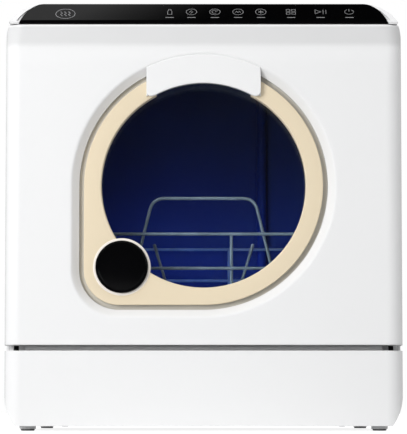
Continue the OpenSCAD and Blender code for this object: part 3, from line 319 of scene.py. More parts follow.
def finish(name, color, rough=0.3, drift=0.03, grain=0.0006, depth=0.00002, spread=0.08, metallic=0.0, coat=0.0,
           edge=0.0006, specular=0.5, patch=9.0, stretch=(1, 1, 1)):
    """A finish in four layers: colour that drifts in soft patches, colour worn along the edges, gloss that
    changes with the patches and the grain, and a bump of grain over edges rounded by the radius edge."""
    material = bpy.data.materials.new(name)
    material.use_nodes = True
    tree = material.node_tree
    shader = tree.nodes["Principled BSDF"]
    shader.inputs["Metallic"].default_value = metallic
    shader.inputs["Specular IOR Level"].default_value = specular
    shader.inputs["Coat Weight"].default_value = coat
    shader.inputs["Coat Roughness"].default_value = 0.05
    where = add(tree, "ShaderNodeTexCoord")
    scale = add(tree, "ShaderNodeMapping", Scale=stretch)
    join(tree, where, scale, "Object")
    patches = add(tree, "ShaderNodeTexNoise", Scale=patch, Detail=4.0, Roughness=0.55)
    grains = add(tree, "ShaderNodeTexNoise", Scale=1.0 / grain, Detail=2.0, Roughness=0.5)
    join(tree, scale, patches, 0, "Vector")
    join(tree, scale, grains, 0, "Vector")
    base = np.array(color[:3])
    ramp = add(tree, "ShaderNodeValToRGB")
    ramp.color_ramp.elements[0].position = 0.3
    ramp.color_ramp.elements[1].position = 0.7
    ramp.color_ramp.elements[0].color = tuple(base * (1 - drift)) + (1,)
    ramp.color_ramp.elements[1].color = tuple(np.minimum(base * (1 + drift), 1)) + (1,)
    join(tree, patches, ramp, "Fac")
    soft = add(tree, "ShaderNodeBevel", Radius=edge, samples=4)
    flat = add(tree, "ShaderNodeNewGeometry")
    turn = add(tree, "ShaderNodeVectorMath", operation="DOT_PRODUCT")
    join(tree, soft, turn, 0, 0)
    join(tree, flat, turn, "Normal", 1)
    rub = add(tree, "ShaderNodeMapRange", From_Min=0.75, From_Max=1.0, To_Min=1.0, To_Max=0.0)
    join(tree, turn, rub, "Value", "Value")
    worn = add(tree, "ShaderNodeMix", data_type="RGBA")
    amount = add(tree, "ShaderNodeMath", operation="MULTIPLY")
    join(tree, rub, amount, "Result", 0)
    join(tree, patches, amount, "Fac", 1)
    join(tree, amount, worn, 0, 0)
    tree.links.new(ramp.outputs["Color"], worn.inputs[6])
    worn.inputs[7].default_value = tuple(np.clip(base * (1 - WEAR), 0, 1)) + (1,)
    tree.links.new(worn.outputs[2], shader.inputs["Base Color"])
    polish = add(tree, "ShaderNodeMapRange", From_Min=0.3, From_Max=0.7,
                 To_Min=max(rough - spread, 0.01), To_Max=min(rough + spread, 1.0))
    join(tree, patches, polish, "Fac", "Value")
    join(tree, polish, shader, "Result", "Roughness")
    bump = add(tree, "ShaderNodeBump", Strength=0.5, Distance=depth)
    join(tree, grains, bump, "Fac", "Height")
    join(tree, soft, bump, "Normal", "Normal")
    join(tree, bump, shader, "Normal", "Normal")
    return material


def paint_light_by_height(material, *ramps):
    """Paints light and shade into a finish's colour: multiplies it by the sum of ramps along Z, each given as
    (z1, z2, value at z1, value at z2) and level beyond both ends."""
    tree = material.node_tree
    shader = tree.nodes["Principled BSDF"]
    plain = shader.inputs["Base Color"].links[0].from_socket
    place = add(tree, "ShaderNodeTexCoord")
    parts = add(tree, "ShaderNodeSeparateXYZ")
    painted_colour = add(tree, "ShaderNodeVectorMath", operation="MULTIPLY")
    join(tree, place, parts, "Object")
    total = None
    for z1, z2, value1, value2 in ramps:
        ramp = add(tree, "ShaderNodeMapRange", From_Min=z1, From_Max=z2, To_Min=value1, To_Max=value2)
        join(tree, parts, ramp, "Z", "Value")
        if total is not None:
            painted_sum = add(tree, "ShaderNodeMath", operation="ADD")
            join(tree, total, painted_sum, 0, 0)
            join(tree, ramp, painted_sum, 0, 1)
            ramp = painted_sum
        total = ramp
    tree.links.new(plain, painted_colour.inputs[0])
    join(tree, total, painted_colour, 0, 1)
    join(tree, painted_colour, shader, 0, "Base Color")


# %% Plastic finishes
SHELL_WHITE = (0.87, 0.873, 0.878)
white_shell = finish("white_shell", SHELL_WHITE, rough=0.24, spread=0.02, drift=0.002, coat=0.15, depth=0.000006)
cream_trim = finish("cream_trim", linear(233, 218, 190), rough=0.3, spread=0.03, drift=0.008, depth=0.000006,
                    edge=0.001)
grey_rubber = finish("grey_rubber", (0.17, 0.17, 0.175), rough=0.75, drift=0.12, grain=0.0009, depth=0.00008)
navy_chamber = finish("navy_chamber", (0.005, 0.013, 0.07), rough=0.4, drift=0.15, depth=0.00001, specular=0.25)
# Painted light: the chamber's blue is multiplied by 3.2 below 0.20 m, easing to 1.5 above 0.34 m, so the lower
# chamber looks lit by a blue glow.
paint_light_by_height(navy_chamber, (0.20, 0.34, 3.2, 1.5))
grey_plastic = finish("grey_plastic", (0.42, 0.43, 0.44), rough=0.5, drift=0.05, depth=0.00004)
dark_plastic = finish("dark_plastic", (0.035, 0.036, 0.038), rough=0.45, drift=0.12, depth=0.00004)
tank_plastic = finish("tank_plastic", (0.62, 0.66, 0.68), rough=0.35, drift=0.05, depth=0.00003)
wire_coating = finish("wire_coating", (0.35, 0.345, 0.35), rough=0.28, drift=0.08, grain=0.0012, depth=0.00002,
                      patch=40)
print("plastics: 8 finishes")

# %% Glass, metal and board finishes
black_glass = finish("black_glass", (0.0012, 0.0012, 0.0014), rough=0.05, spread=0.02, drift=0.1, depth=0.000001,
                     specular=0.35)
black_gloss = finish("black_gloss", (0.0016, 0.0016, 0.002), rough=0.14, spread=0.04, drift=0.1, depth=0.000002,
                     specular=0.3)
steel = finish("steel", (0.56, 0.57, 0.58), rough=0.26, spread=0.08, metallic=1.0, drift=0.06, grain=0.0004,
               depth=0.00002, patch=30, stretch=(1, 1, 0.12))
black_steel = finish("black_steel", (0.012, 0.012, 0.013), rough=0.45, drift=0.1, depth=0.00001, specular=0.3)
board = finish("board", (0.01, 0.09, 0.035), rough=0.35, drift=0.2, grain=0.002, depth=0.00003, patch=60)
clear_glass = finish("clear_glass", (0.86, 0.92, 0.95), rough=0.02, spread=0.01, drift=0.01, depth=0.0000005)
tree = clear_glass.node_tree
glass_shader = tree.nodes["Principled BSDF"]
glass_shader.inputs["Transmission Weight"].default_value = 1.0
let_by = add(tree, "ShaderNodeBsdfTransparent", Color=(0.8, 0.86, 0.9, 1))
lamp_ray = add(tree, "ShaderNodeLightPath")
window_mix = add(tree, "ShaderNodeMixShader")
join(tree, lamp_ray, window_mix, "Is Shadow Ray", 0)
join(tree, glass_shader, window_mix, 0, 1)
join(tree, let_by, window_mix, 0, 2)
join(tree, window_mix, tree.nodes["Material Output"])
blue_lens = finish("blue_lens", (0.2, 0.45, 1.0), rough=0.3, depth=0.00003)
lens_shader = blue_lens.node_tree.nodes["Principled BSDF"]
lens_shader.inputs["Emission Color"].default_value = (0.15, 0.4, 1.0, 1)
lens_shader.inputs["Emission Strength"].default_value = 1.5
finishes = {m.name: m for m in (
    white_shell, cream_trim, grey_rubber, navy_chamber, grey_plastic, dark_plastic, tank_plastic, wire_coating,
    black_glass, black_gloss, steel, board, clear_glass, blue_lens)}
print("finishes:", len(finishes))

# %% [markdown]
# ## Dress the frame
# Each part of the frame keeps its shape, and the imported model already says how its round faces shade. It only
# takes the finish that the record names for it. The hinge arms are painted black instead, as painted shade, so that
# they don't shine in the gap.

# %% Dress the frame
slot_of = {row["node"]: row["material_slot"] for row in frame["record"]["subparts"] if "material_slot" in row}
for name, part in nodes.items():
    # Painted shade: the hinge arms get black steel so that they stay dark in the gap.
    part.data.materials.append(black_steel if name.startswith("hinge_arm") else finishes[slot_of[name]])
print("dressed:", len(nodes), "parts")

# %% [markdown]
# ## The ring outlines round the window
# The window is round, but its surround has one square corner at the lower left, where the badge sits, so it
# looks like a drop. The surround, the groove and the flare share this outline at growing sizes. It could be
# drawn with curves, but a radius that depends on the angle is exact and can be used at any size.

# %% Drop outline
WINDOW_Z = 0.2585
FACE_Y = DOOR_FACE_Y
BROW_Y = -0.215
BACK_Y = -0.170
WINDOW_R = 0.108
BEZEL_R = 0.1264
GROOVE_R = 0.1314
FLARE_R = 0.1394
GROOVE_Y = -0.1985
CORNER_AT = 0.0894
RING_STEPS = 420


def drop_radius(angle, radius):
    """The distance from the window's middle to the outline, for an angle clockwise from straight up. It is
    the radius itself, except in the lower left quarter: there it is the nearest crossing of the ray with the
    left side, the bottom side, or the arc that joins them round the point CORNER_AT out on both axes."""
    s, c = np.abs(np.sin(angle)), np.abs(np.cos(angle))
    lower_left = (np.sin(angle) < 0) & (np.cos(angle) < 0)
    left, low = radius / np.maximum(s, 1e-9), radius / np.maximum(c, 1e-9)
    bend = radius - CORNER_AT
    arc = CORNER_AT * (s + c) + np.sqrt(np.maximum(CORNER_AT ** 2 * (s + c) ** 2 - 2 * CORNER_AT ** 2 + bend ** 2, 0))
    drop = np.where(left * c <= CORNER_AT, left, np.where(low * s <= CORNER_AT, low, arc))
    return np.where(lower_left, drop, radius)


def around(angle, radius, y):
    """Points at an angle and radius about the window's middle, at a depth y."""
    angle, radius, y = np.broadcast_arrays(angle, radius, y)
    return np.stack([radius * np.sin(angle), y, WINDOW_Z + radius * np.cos(angle)], -1)


print("square corner reaches %.0f mm" % (1000 * float(drop_radius(np.array(math.radians(225)), BEZEL_R))))

# %% [markdown]
# ## Door front
# The door is one glossy white moulding. Its face is flat, rolls over on both sides with a radius of 17 mm and
# leans out at the top as a brow. A flared wall leads down into the groove round the window. The CAD part is
# right but its arcs are short flat steps, which show in a gloss finish. This surface has one row of points for
# each step around the door's edge, and runs from the groove out over the face, round the edge and to the back.

# %% Door edge
DOOR_HALF = 0.210
DOOR_LOW, DOOR_TOP = 0.0899, 0.4289
CORNER_Z, CORNER_R = 0.413, 0.042
CORNER_X = DOOR_HALF - CORNER_R
ROLL_Y = -0.195
SIDE_STEPS, LEVEL_STEPS, CORNER_STEPS = 150, 230, 26
BROW_PAINTED_SHADE = 0.885

# Painted shade: from 0.4105 m up to 0.4262 m, where the brow leans down, the door's colour is multiplied by 0.885,
# easing back to full white below 0.4052 m and at the rounded top edge.
door_white_brow_shade = finish("door_white_brow_shade", SHELL_WHITE, rough=0.24, spread=0.02, drift=0.002, coat=0.15, depth=0.000006)
paint_light_by_height(door_white_brow_shade, (0.4052, 0.4105, 1.0, BROW_PAINTED_SHADE), (0.4262, 0.4272, 0.0, 1.0 - BROW_PAINTED_SHADE))


def half_width(z):
    """Half the door's width at a height: full below, and an arc of radius CORNER_R at the top corners."""
    up = np.maximum(z - CORNER_Z, 0)
    return CORNER_X + np.sqrt(np.maximum(CORNER_R ** 2 - up ** 2, 0))


def face_depth(x, z):
    """The depth of the door's front at x and z. The brow leans out by 3 mm along a smooth step. At the sides
    a circle of radius 17 mm (20 mm at the brow) rolls the face back. The lower edge has a small chamfer and
    the brow a rounded top edge. Under the brow the face first dips by 1.3 mm, so that the step reads."""
    t = np.clip((z - 0.4058) / 0.0207, 0, 1)
    brow = np.where(t < 0.2, t ** 2 / 0.36, (t - 0.1) / 0.9)
    dip = np.clip((z - 0.3898) / 0.016, 0, 1)
    scoop = 0.0013 * dip ** 2 * (3 - 2 * dip)
    front = FACE_Y + scoop + (BROW_Y - FACE_Y - scoop) * brow
    r = ROLL_Y - front
    over = np.maximum(np.abs(x) - (DOOR_HALF - r), 0)
    y = ROLL_Y - np.sqrt(np.maximum(r ** 2 - np.minimum(over, r) ** 2, 0))
    y = y + 0.0012 * np.clip((z - 0.4265) / 0.0022, 0, 1) ** 2
    return np.minimum(y + 0.0007 * np.clip((DOOR_LOW + 0.0013 - z) / 0.0013, 0, 1) ** 1.5, ROLL_Y)


side_z = np.linspace(DOOR_LOW, CORNER_Z, SIDE_STEPS)
turn = np.linspace(0, math.asin((DOOR_TOP - CORNER_Z) / CORNER_R), CORNER_STEPS)[1:]
corner = np.stack([CORNER_X + CORNER_R * np.cos(turn), CORNER_Z + CORNER_R * np.sin(turn)], 1)
top_x = np.linspace(corner[-1, 0], -corner[-1, 0], LEVEL_STEPS)[1:-1]
low_x = np.linspace(-DOOR_HALF, DOOR_HALF, LEVEL_STEPS)[1:-1]
slots = np.array([-0.2003, -0.1953, 0.1953, 0.2003])
low_x = np.sort(np.concatenate([low_x[np.abs(low_x[:, None] - slots).min(1) > 0.0006], slots]))
edge = np.concatenate([
    np.stack([np.full(SIDE_STEPS, DOOR_HALF), side_z], 1), corner,
    np.stack([top_x, np.full(len(top_x), DOOR_TOP)], 1), (corner * [-1, 1])[::-1],
    np.stack([np.full(SIDE_STEPS, -DOOR_HALF), side_z[::-1]], 1),
    np.stack([low_x, np.full(len(low_x), DOOR_LOW)], 1)])
at_top, at_foot = edge[:, 1] > DOOR_TOP - 0.0001, edge[:, 1] < DOOR_LOW + 0.0007
print("door edge:", len(edge), "points")


# %% Door front surface
TAB_ANGLE = 0.451
POCKET_R = 0.122
LIP_R, FLARE_SLOPE = 0.0040, math.radians(24.2)
FACE_STEPS = 39
RECESS_COLUMNS = 12


def door_front():
    """For each edge point, a line of points: groove floor, groove wall, flare with a rounded lip, face out to
    the edge (spacing shrinks as the square of what is left, so the rolled edge gets many), side to the back,
    and a short return inside the rim."""
    x, z = edge[:, 0], edge[:, 1]
    angle = np.arctan2(x, z - WINDOW_Z)[:, None]
    reach = np.hypot(x, z - WINDOW_Z)[:, None]
    groove, flare = drop_radius(angle, GROOVE_R), drop_radius(angle, FLARE_R)
    start = np.where(np.abs(angle) < TAB_ANGLE, groove - 0.0001, drop_radius(angle, POCKET_R))
    recess = [around(angle, start, GROOVE_Y), around(angle, groove, GROOVE_Y), around(angle, groove, -0.2032)]
    for k in (0.03, 0.2, 0.4, 0.6, 0.8):
        recess.append(around(angle, groove + (flare - groove) * k, -0.203 - 0.009 * k))
    inner = flare + LIP_R * math.tan(FLARE_SLOPE)
    for a in np.radians([40, 24, 8]):
        recess.append(around(angle, inner - LIP_R * math.sin(a), FACE_Y + LIP_R * (1 - math.cos(a))))
    recess.append(around(angle, inner, FACE_Y))
    s = np.linspace(0, 1, FACE_STEPS + 1)[1:]
    face = around(angle, inner + (reach - inner) * (1 - (1 - s) ** 2), 0.0)
    face[..., 1] = face_depth(face[..., 0], face[..., 2])
    face[:, -1, 1] = face_depth(x, z)
    front = face[:, -1:, :]
    walls = []
    for g in (0.02, 0.15, 0.35, 0.6, 0.88, 1.0):
        p = front.copy()
        p[..., 1] = front[..., 1] + g * (BACK_Y - front[..., 1])
        p[..., 2] += np.where(at_top, -0.0013 * g, 0)[:, None]
        p[..., 2] += np.where(at_foot, 0.0085 * max(g - 0.88, 0) / 0.12, 0)[:, None]
        walls.append(p)
    middle = np.array([0.0, 0.0, 0.26])
    shrink = np.array([1 - 0.0024 / 0.21, 1, 1 - 0.0024 / 0.17])
    back = (walls[-1] - middle) * shrink + middle
    back[..., 1] = BACK_Y
    deep = back.copy()
    deep[..., 1] = BACK_Y - 0.012
    columns = recess + [face] + walls + [back, deep]
    return np.concatenate([p.reshape(len(x), -1, 3) for p in columns], 1)


skin = door_front()
rows, cols = skin.shape[:2]
quads = grid_faces(rows, cols, wrap_rows=True)
row, col = quads[:, 0] // cols, quads[:, 0] % cols
mid_x = (edge[row, 0] + edge[(row + 1) % rows, 0]) / 2
slot_face = at_foot[row] & (np.abs(np.abs(mid_x) - 0.1978) < 0.0024) & (col > RECESS_COLUMNS + FACE_STEPS)
pocket_face = (np.abs(np.arctan2(edge[row, 0], edge[row, 1] - WINDOW_Z)) < TAB_ANGLE) & (col < 1)
door_skin = surface("door_front", skin.reshape(-1, 3), quads[~slot_face & ~pocket_face], "door", door_white_brow_shade)
split_edges(door_skin, 35)
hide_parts("door_shell")
print("door front:", rows, "by", cols, "points")

# %% [markdown]
# ## Cream surround
# The surround is a separate cream moulding that lies in the recess. Its inner edge is softly rounded and
# catches a thin line of light. The section is one closed line, carried round the drop outline from one side of
# the pull tab to the other, so that it is a solid strip with real ends.

# %% Surround
def strip_section(steps):
    """The surround's section as (part of the way out, push, depth): up the collar, round the inner edge with a
    radius of 1.8 mm, across the plate with a slight crown, round the outer edge, down and back underneath."""
    r_in, r_out = 0.0018, 0.0010
    a = np.radians(np.linspace(0, 90, 9))
    part, push, depth = [0, 0], [0, 0], [-0.1925, -0.1990]
    part += [0] * 9
    push += list(r_in * (1 - np.cos(a)))
    depth += list(-0.2055 + r_in * (1 - np.sin(a)))
    t = np.linspace(0, 1, steps)[1:-1]
    part += list(t)
    push += list(r_in * (1 - t) - r_out * t)
    depth += list(-0.2055 - 0.00025 * np.sin(np.pi * t))
    part += [1] * 7
    b = np.radians(np.linspace(90, 0, 7))
    push += list(-r_out * (1 - np.cos(b)))
    depth += list(-0.2055 + r_out * (1 - np.sin(b)))
    part += [1, 0.35, 0.25]
    push += [0, 0, 0]
    depth += [-0.1988, -0.1988, -0.1925]
    return np.array(part), np.array(push), np.array(depth)


TAB_GAP = 0.050
part, push, depth = strip_section(14)
radius_at_end = WINDOW_R + part * (BEZEL_R - WINDOW_R) + push
first = np.arcsin(TAB_GAP / radius_at_end)
step = np.linspace(0, 1, RING_STEPS)[:, None]
angle = first + step * (2 * np.pi - 2 * first)
radius = WINDOW_R + part * (drop_radius(angle, BEZEL_R) - WINDOW_R) + push
points = around(angle, radius, depth)
rows, cols = points.shape[:2]
faces = [list(q) for q in grid_faces(rows, cols, wrap_cols=True, flip=True)]
faces += [list(range(cols)), list(range((rows - 1) * cols, rows * cols))[::-1]]
surround = surface("surround", points.reshape(-1, 3), faces, "door", cream_trim)
split_edges(surround, 40)
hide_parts("door_bezel")
print("surround:", rows, "by", cols, "points")

# %% [markdown]
# ## Groove shade and sill
# A grey strip lies in the groove round the surround: painted shade, in place of the shade that falls into the
# groove. In the gap under the door stands a white sill, hollowed out along a circle about the hinge, so that the
# door's lower edge swings past it. Past each end of it a black bar is painted shade for the dark slot of a hinge.

# %% Groove shade strip
# Painted shade: this grey strip in the groove stands in for the shade that falls there.
groove_shade_grey = finish("groove_shade_grey", (0.56, 0.54, 0.49), rough=0.7, drift=0.05, grain=0.0008, depth=0.00003)
share = np.array([0.04, 0.3, 0.7, 0.96])
shade_strip_dip = np.array([0.0, 0.0003, 0.0003, 0.0])
first = math.asin(0.0575 / 0.129)
angle = first + step * (2 * np.pi - 2 * first)
inner, outer = drop_radius(angle, BEZEL_R), drop_radius(angle, GROOVE_R)
points = around(angle, inner + (outer - inner) * share, GROOVE_Y - 0.0005 + shade_strip_dip)
shade_strip = surface("groove_shade_strip", points.reshape(-1, 3), grid_faces(RING_STEPS, 4), "door", groove_shade_grey)
print("groove seal: 5 mm wide")


# %% Sill
def bar(name, x, line, material, flip=False):
    """A straight piece of the cabinet: the profile line of (y, z) points drawn out along x, with closed ends."""
    x, n, m = x[:, None], len(x), len(line)
    points = np.stack([x + 0 * line[:, 0], line[:, 0] + 0 * x, line[:, 1] + 0 * x], -1)
    ends = [list(range(m)), list(range((n - 1) * m, n * m))[::-1]]
    faces = [list(q) for q in grid_faces(n, m, wrap_cols=True, flip=flip)] + [e if flip else e[::-1] for e in ends]
    piece = surface(name, points.reshape(-1, 3), faces, "cabinet", material, smooth=False)


HINGE_Y, HINGE_Z, SWING_R = -0.200, 0.101, 0.0169
swing = np.radians(np.linspace(2, 44, 8))
cove = np.stack([HINGE_Y + SWING_R * np.sin(swing), HINGE_Z - SWING_R * np.cos(swing)], -1)
sill_line = np.concatenate([[(-0.1994, 0.0838)], cove, [(-0.1876, 0.0893), (-0.1872, 0.0895), (-0.1854, 0.0895),
                                                        (-0.1851, 0.0892), (-0.1851, 0.0838)]])
bar("sill_lip", np.linspace(-0.189, 0.189, 60), sill_line, white_shell)
# Painted shade: a black bar at each end of the sill stands in for the dark inside of a hinge slot.
for side, name in ((-1, "hinge_slot_left"), (1, "hinge_slot_right")):
    bar(name, side * 0.1981 + np.linspace(-0.0025, 0.0025, 9), sill_line - [0.0002, 0], black_steel)
print("sill: under the door's lower edge")

# %% [markdown]
# ## Badge
# A round black badge covers the square corner, on a cream collar a little wider than itself. Both are turned
# shapes: a profile of radius and depth that goes once round its own middle. Nothing is printed on the badge,
# so its finish has to carry it: a gentle dome, a fine bead round the rim and a deep gloss.

# %% Turned shapes
def turned(name, profile, middle, body, material):
    """A profile of (radius, y) pairs turned about a line along Y through middle (x, z). A radius of zero at
    an end closes that end with a fan round one point."""
    profile = np.asarray(profile, float)
    a = np.linspace(0, 2 * np.pi, 160, endpoint=False)[:, None]
    x = middle[0] + profile[:, 0] * np.sin(a)
    z = middle[1] + profile[:, 0] * np.cos(a)
    points = np.stack([x, np.broadcast_to(profile[:, 1], x.shape), z], -1)
    rows, cols = points.shape[:2]
    faces = grid_faces(rows, cols, wrap_rows=True)
    piece = surface(name, points.reshape(-1, 3), faces, body, material, merge=0.000001)
    split_edges(piece, 40)
    return piece


def arc(middle, radius, start, end, steps):
    """Points (u, v) on a circle about middle, from one angle in degrees to another."""
    a = np.radians(np.linspace(start, end, steps))
    return [(middle[0] + radius * math.cos(t), middle[1] + radius * math.sin(t)) for t in a]


BADGE_X, BADGE_Z, BADGE_R, BADGE_Y = -0.0863, WINDOW_Z - 0.0863, 0.0277, -0.2065
dome = [(r, -0.20955 + 0.0009 * (r / 0.0250) ** 2) for r in np.linspace(0, 0.0250, 14)]
rim = [(0.0253, -0.20845), (0.0256, -0.20865)] + arc((0.0266, -0.2086), 0.0011, 190, 360, 9)
badge = turned("badge_disc", dome + rim + [(BADGE_R, -0.2070), (BADGE_R, BADGE_Y + 0.0018), (0, BADGE_Y + 0.0018)],
               (BADGE_X, BADGE_Z), "door", black_gloss)
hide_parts("badge")
pale_trim = finish("pale_trim", linear(251, 244, 236), rough=0.28, drift=0.004, depth=0.000006)
collar_line = [(0, BADGE_Y + 0.0002), (0.0284, BADGE_Y)] + arc((0.0291, BADGE_Y + 0.0013), 0.0013, -90, 0, 7)
collar = turned("badge_collar", collar_line + [(0.0304, -0.1995), (0.0290, -0.1985), (0, -0.1985)],
                (BADGE_X, BADGE_Z), "door", pale_trim)
print("badge: %.1f mm across" % (2000 * BADGE_R))

# %% [markdown]
# ## Pull tab
# The tab bridges the top of the surround, flush with the door's face, and the hand goes behind it. Its lower
# edge follows the window and its upper edge the flare. It is a front and a back grid whose edges roll towards
# each other, with a band between them, and a small foot at each end that stands in the groove.

# %% Slab helper
def slab_faces(rows, cols):
    """Front grid, back grid turned over, and a band that joins their four borders."""
    n = rows * cols
    front = grid_faces(rows, cols)
    back = grid_faces(rows, cols, flip=True) + n
    ring = np.concatenate([np.arange(cols), np.arange(1, rows) * cols + cols - 1,
                           (rows - 1) * cols + np.arange(cols - 2, -1, -1), np.arange(rows - 2, 0, -1) * cols])
    after = np.roll(ring, -1)
    band = np.stack([after, ring, ring + n, after + n], 1)
    return np.concatenate([front, back, band])


def slab(name, x, z, front_y, back_y, body, material, edge=0.001, flip=False):
    """Two grids at x, z: one at front_y and one at back_y. Near the border each rolls towards the other along a
    quarter circle of radius edge."""
    along = np.hypot(np.gradient(x, axis=0), np.gradient(z, axis=0)).cumsum(0)
    across = np.hypot(np.gradient(x, axis=1), np.gradient(z, axis=1)).cumsum(1)
    d = np.minimum(np.minimum(along - along[:1], along[-1:] - along),
                   np.minimum(across - across[:, :1], across[:, -1:] - across))
    roll = edge - np.sqrt(np.maximum(edge ** 2 - np.maximum(edge - d, 0) ** 2, 0))
    front = np.stack([x, front_y + roll, z], -1)
    back = np.stack([x, back_y - roll, z], -1)
    points = np.concatenate([front.reshape(-1, 3), back.reshape(-1, 3)])
    faces = slab_faces(*x.shape)
    if flip:
        faces = faces[:, ::-1]
    piece = surface(name, points, faces, body, material)
    split_edges(piece, 50)
    return piece


def ease(n, power=2.0):
    """n numbers from 0 to 1 that crowd towards both ends."""
    t = np.linspace(-1, 1, n)
    return (np.sign(t) * (1 - (1 - np.abs(t)) ** power) + 1) / 2


# %% Pull tab
TAB_HALF, TAB_CORNER_R, TAB_THICK = 0.0605, 0.0105, 0.004
u = (ease(121) * 2 - 1)[:, None] * TAB_HALF
into_corner = np.maximum(np.abs(u) - (TAB_HALF - TAB_CORNER_R), 0)
lift = TAB_CORNER_R - np.sqrt(np.maximum(TAB_CORNER_R ** 2 - into_corner ** 2, 0))
low = np.sqrt(WINDOW_R ** 2 - u ** 2) + 0.0002 + lift
high = np.sqrt((FLARE_R - 0.0002) ** 2 - u ** 2)
v = ease(41)[None, :]
tab_x = np.broadcast_to(u, (121, 41)).copy()
tab_z = WINDOW_Z + low + (high - low) * v
tab = slab("pull_tab", tab_x, tab_z, FACE_Y, FACE_Y + TAB_THICK, "door", white_shell, edge=0.0014, flip=True)
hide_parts("door_handle")
for side in (-1, 1):
    foot_x = side * (0.059 + 0.0015 * np.linspace(-1, 1, 5))[:, None] * np.ones((1, 9))
    foot_low = np.sqrt(0.1122 ** 2 - foot_x ** 2)
    foot_high = np.sqrt(0.1309 ** 2 - foot_x ** 2)
    foot_z = WINDOW_Z + foot_low + (foot_high - foot_low) * np.linspace(0, 1, 9)[None, :]
    foot = slab("tab_foot_left" if side < 0 else "tab_foot_right", foot_x, foot_z, FACE_Y + 0.0039, -0.1988,
                "door", white_shell, edge=0.0003, flip=side > 0)
print("pull tab: %.0f mm wide" % (2000 * TAB_HALF))

# %% [markdown]
# ## Touch strip
# A slanted strip of black glass runs across the top. It lies in the console's slope, so each point is found
# from how far across it is and how far up the slope. Its symbols are thin pale lines printed on the glass:
# plain pictures of what each key does, over short bars in place of words.

# %% Slope
SLOPE_LOW = np.array([0.0, -0.213, 0.4330])
SLOPE_ANGLE = math.atan2(0.0212, 0.0238)
UP_SLOPE = np.array([0.0, math.cos(SLOPE_ANGLE), math.sin(SLOPE_ANGLE)])
OFF_SLOPE = np.array([0.0, -math.sin(SLOPE_ANGLE), math.cos(SLOPE_ANGLE)])


def on_slope(across, up, off=0.0):
    """Points on the console's slope: across along X, up along the slope from its lower edge, off above it."""
    across, up, off = np.broadcast_arrays(across, up, off)
    return (SLOPE_LOW + across[..., None] * [1.0, 0.0, 0.0] + up[..., None] * UP_SLOPE + off[..., None] * OFF_SLOPE)


# %% Strip glass
t = np.linspace(0, 1, 10)[:-1, None]
GLASS_THICK, GLASS_ROLL = 0.0012, 0.0004
lip_low, lip_top, lip_end = np.array([[-0.2138, 0.4297], [-0.2138, 0.43229], [-0.2121, 0.4338]])
over_lip = (1 - t) ** 2 * lip_low + 2 * t * (1 - t) * lip_top + t ** 2 * lip_end
v = ease(49)[:, None]
line_up = np.concatenate([over_lip, lip_end + (np.array([-0.1883, 0.4550]) - lip_end) * v])
ahead = np.gradient(line_up, axis=0)
ahead /= np.linalg.norm(ahead, axis=1, keepdims=True)
outward = np.stack([-ahead[:, 1], ahead[:, 0]], 1)
gone = np.concatenate([[0], np.linalg.norm(np.diff(line_up, axis=0), axis=1).cumsum()])[None, :]
half = 0.1692 + 0.0289 * np.sqrt(np.maximum(1 - ((line_up[:, 1] - CORNER_Z) / 0.0422) ** 2, 0.0001))
half = np.minimum(half, half_width(line_up[:, 1]) - 0.0008)
across = (ease(201) * 2 - 1)[:, None] * half
edge_d = np.minimum(np.minimum(gone, gone[:, -1:] - gone), half - np.abs(across))
drop = GLASS_ROLL - np.sqrt(np.maximum(GLASS_ROLL ** 2 - np.maximum(GLASS_ROLL - edge_d, 0) ** 2, 0))
glass_front, glass_back = [
    np.stack([across, line_up[:, 0] - sunk * outward[:, 0], line_up[:, 1] - sunk * outward[:, 1]], -1)
    for sunk in (drop, GLASS_THICK + 0 * across)]
strip = surface("touch_strip", np.concatenate([glass_front.reshape(-1, 3), glass_back.reshape(-1, 3)]),
                slab_faces(*across.shape)[:, ::-1], "cabinet", black_glass)
split_edges(strip, 40)
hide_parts("control_glass")
print("touch strip: %.0f mm wide, %.0f mm up the slope" % (2000 * float(half.max()), 1000 * gone[0, -1]))

# %% Seals under the strip
seal_line = np.array([(-0.2126, 0.4297), (-0.2126, 0.43115), (-0.1995, 0.43115), (-0.1995, 0.4298),
                      (-0.206, 0.4297)])
bar("strip_seal", np.linspace(-0.194, 0.194, 80), seal_line, dark_plastic, flip=True)
end_x = np.linspace(0.1942, 0.2052, 8)
bar("end_seal_left", -end_x, seal_line, white_shell)
bar("end_seal_right", end_x, seal_line, white_shell, flip=True)
print("seals: one dark, two white at its ends")


# %% Printed lines
print_ink = finish("print_ink", linear(150, 150, 152), rough=0.5, drift=0.03, depth=0.000001, edge=0.0002)
ink_points, ink_faces = [], []


def draw(line, width=0.00045, closed=False, at=(0.0, 0.0)):
    """A printed line through (across, up) points in millimetres. Each point is pushed to both sides by half the
    width, along the line's normal, which is the turned average of its two neighbours' direction."""
    p = np.asarray(line, float) / 1000 + np.asarray(at, float) / 1000
    ahead = np.roll(p, -1, 0) - p if closed else np.vstack([np.diff(p, axis=0), p[-1:] - p[-2:-1]])
    behind = np.roll(ahead, 1, 0) if closed else np.vstack([ahead[:1], ahead[:-1]])
    unit = lambda w: w / np.maximum(np.linalg.norm(w, axis=1, keepdims=True), 1e-12)
    a, b = unit(ahead), unit(behind)
    normal = unit(unit(a + b)[:, ::-1] * [-1, 1])
    stretch = 1 / np.maximum(np.abs((normal * (a[:, ::-1] * [-1, 1])).sum(1, keepdims=True)), 0.5)
    sides = np.stack([p - normal * width / 2 * stretch, p + normal * width / 2 * stretch], 1)
    base = sum(len(q) for q in ink_points)
    ink_points.append(on_slope(sides[..., 0], sides[..., 1], 0.00005).reshape(-1, 3))
    ink_faces.extend((grid_faces(len(p), 2, wrap_rows=closed, flip=True) + base).tolist())


def ring(radius, squeeze=1.0, start=0.0, end=360.0, n=40):
    """Points on a ring or part of one, with its height scaled by squeeze."""
    a = np.radians(np.linspace(start, end, n, endpoint=end - start < 360))
    return np.stack([radius * np.cos(a), radius * squeeze * np.sin(a)], 1)


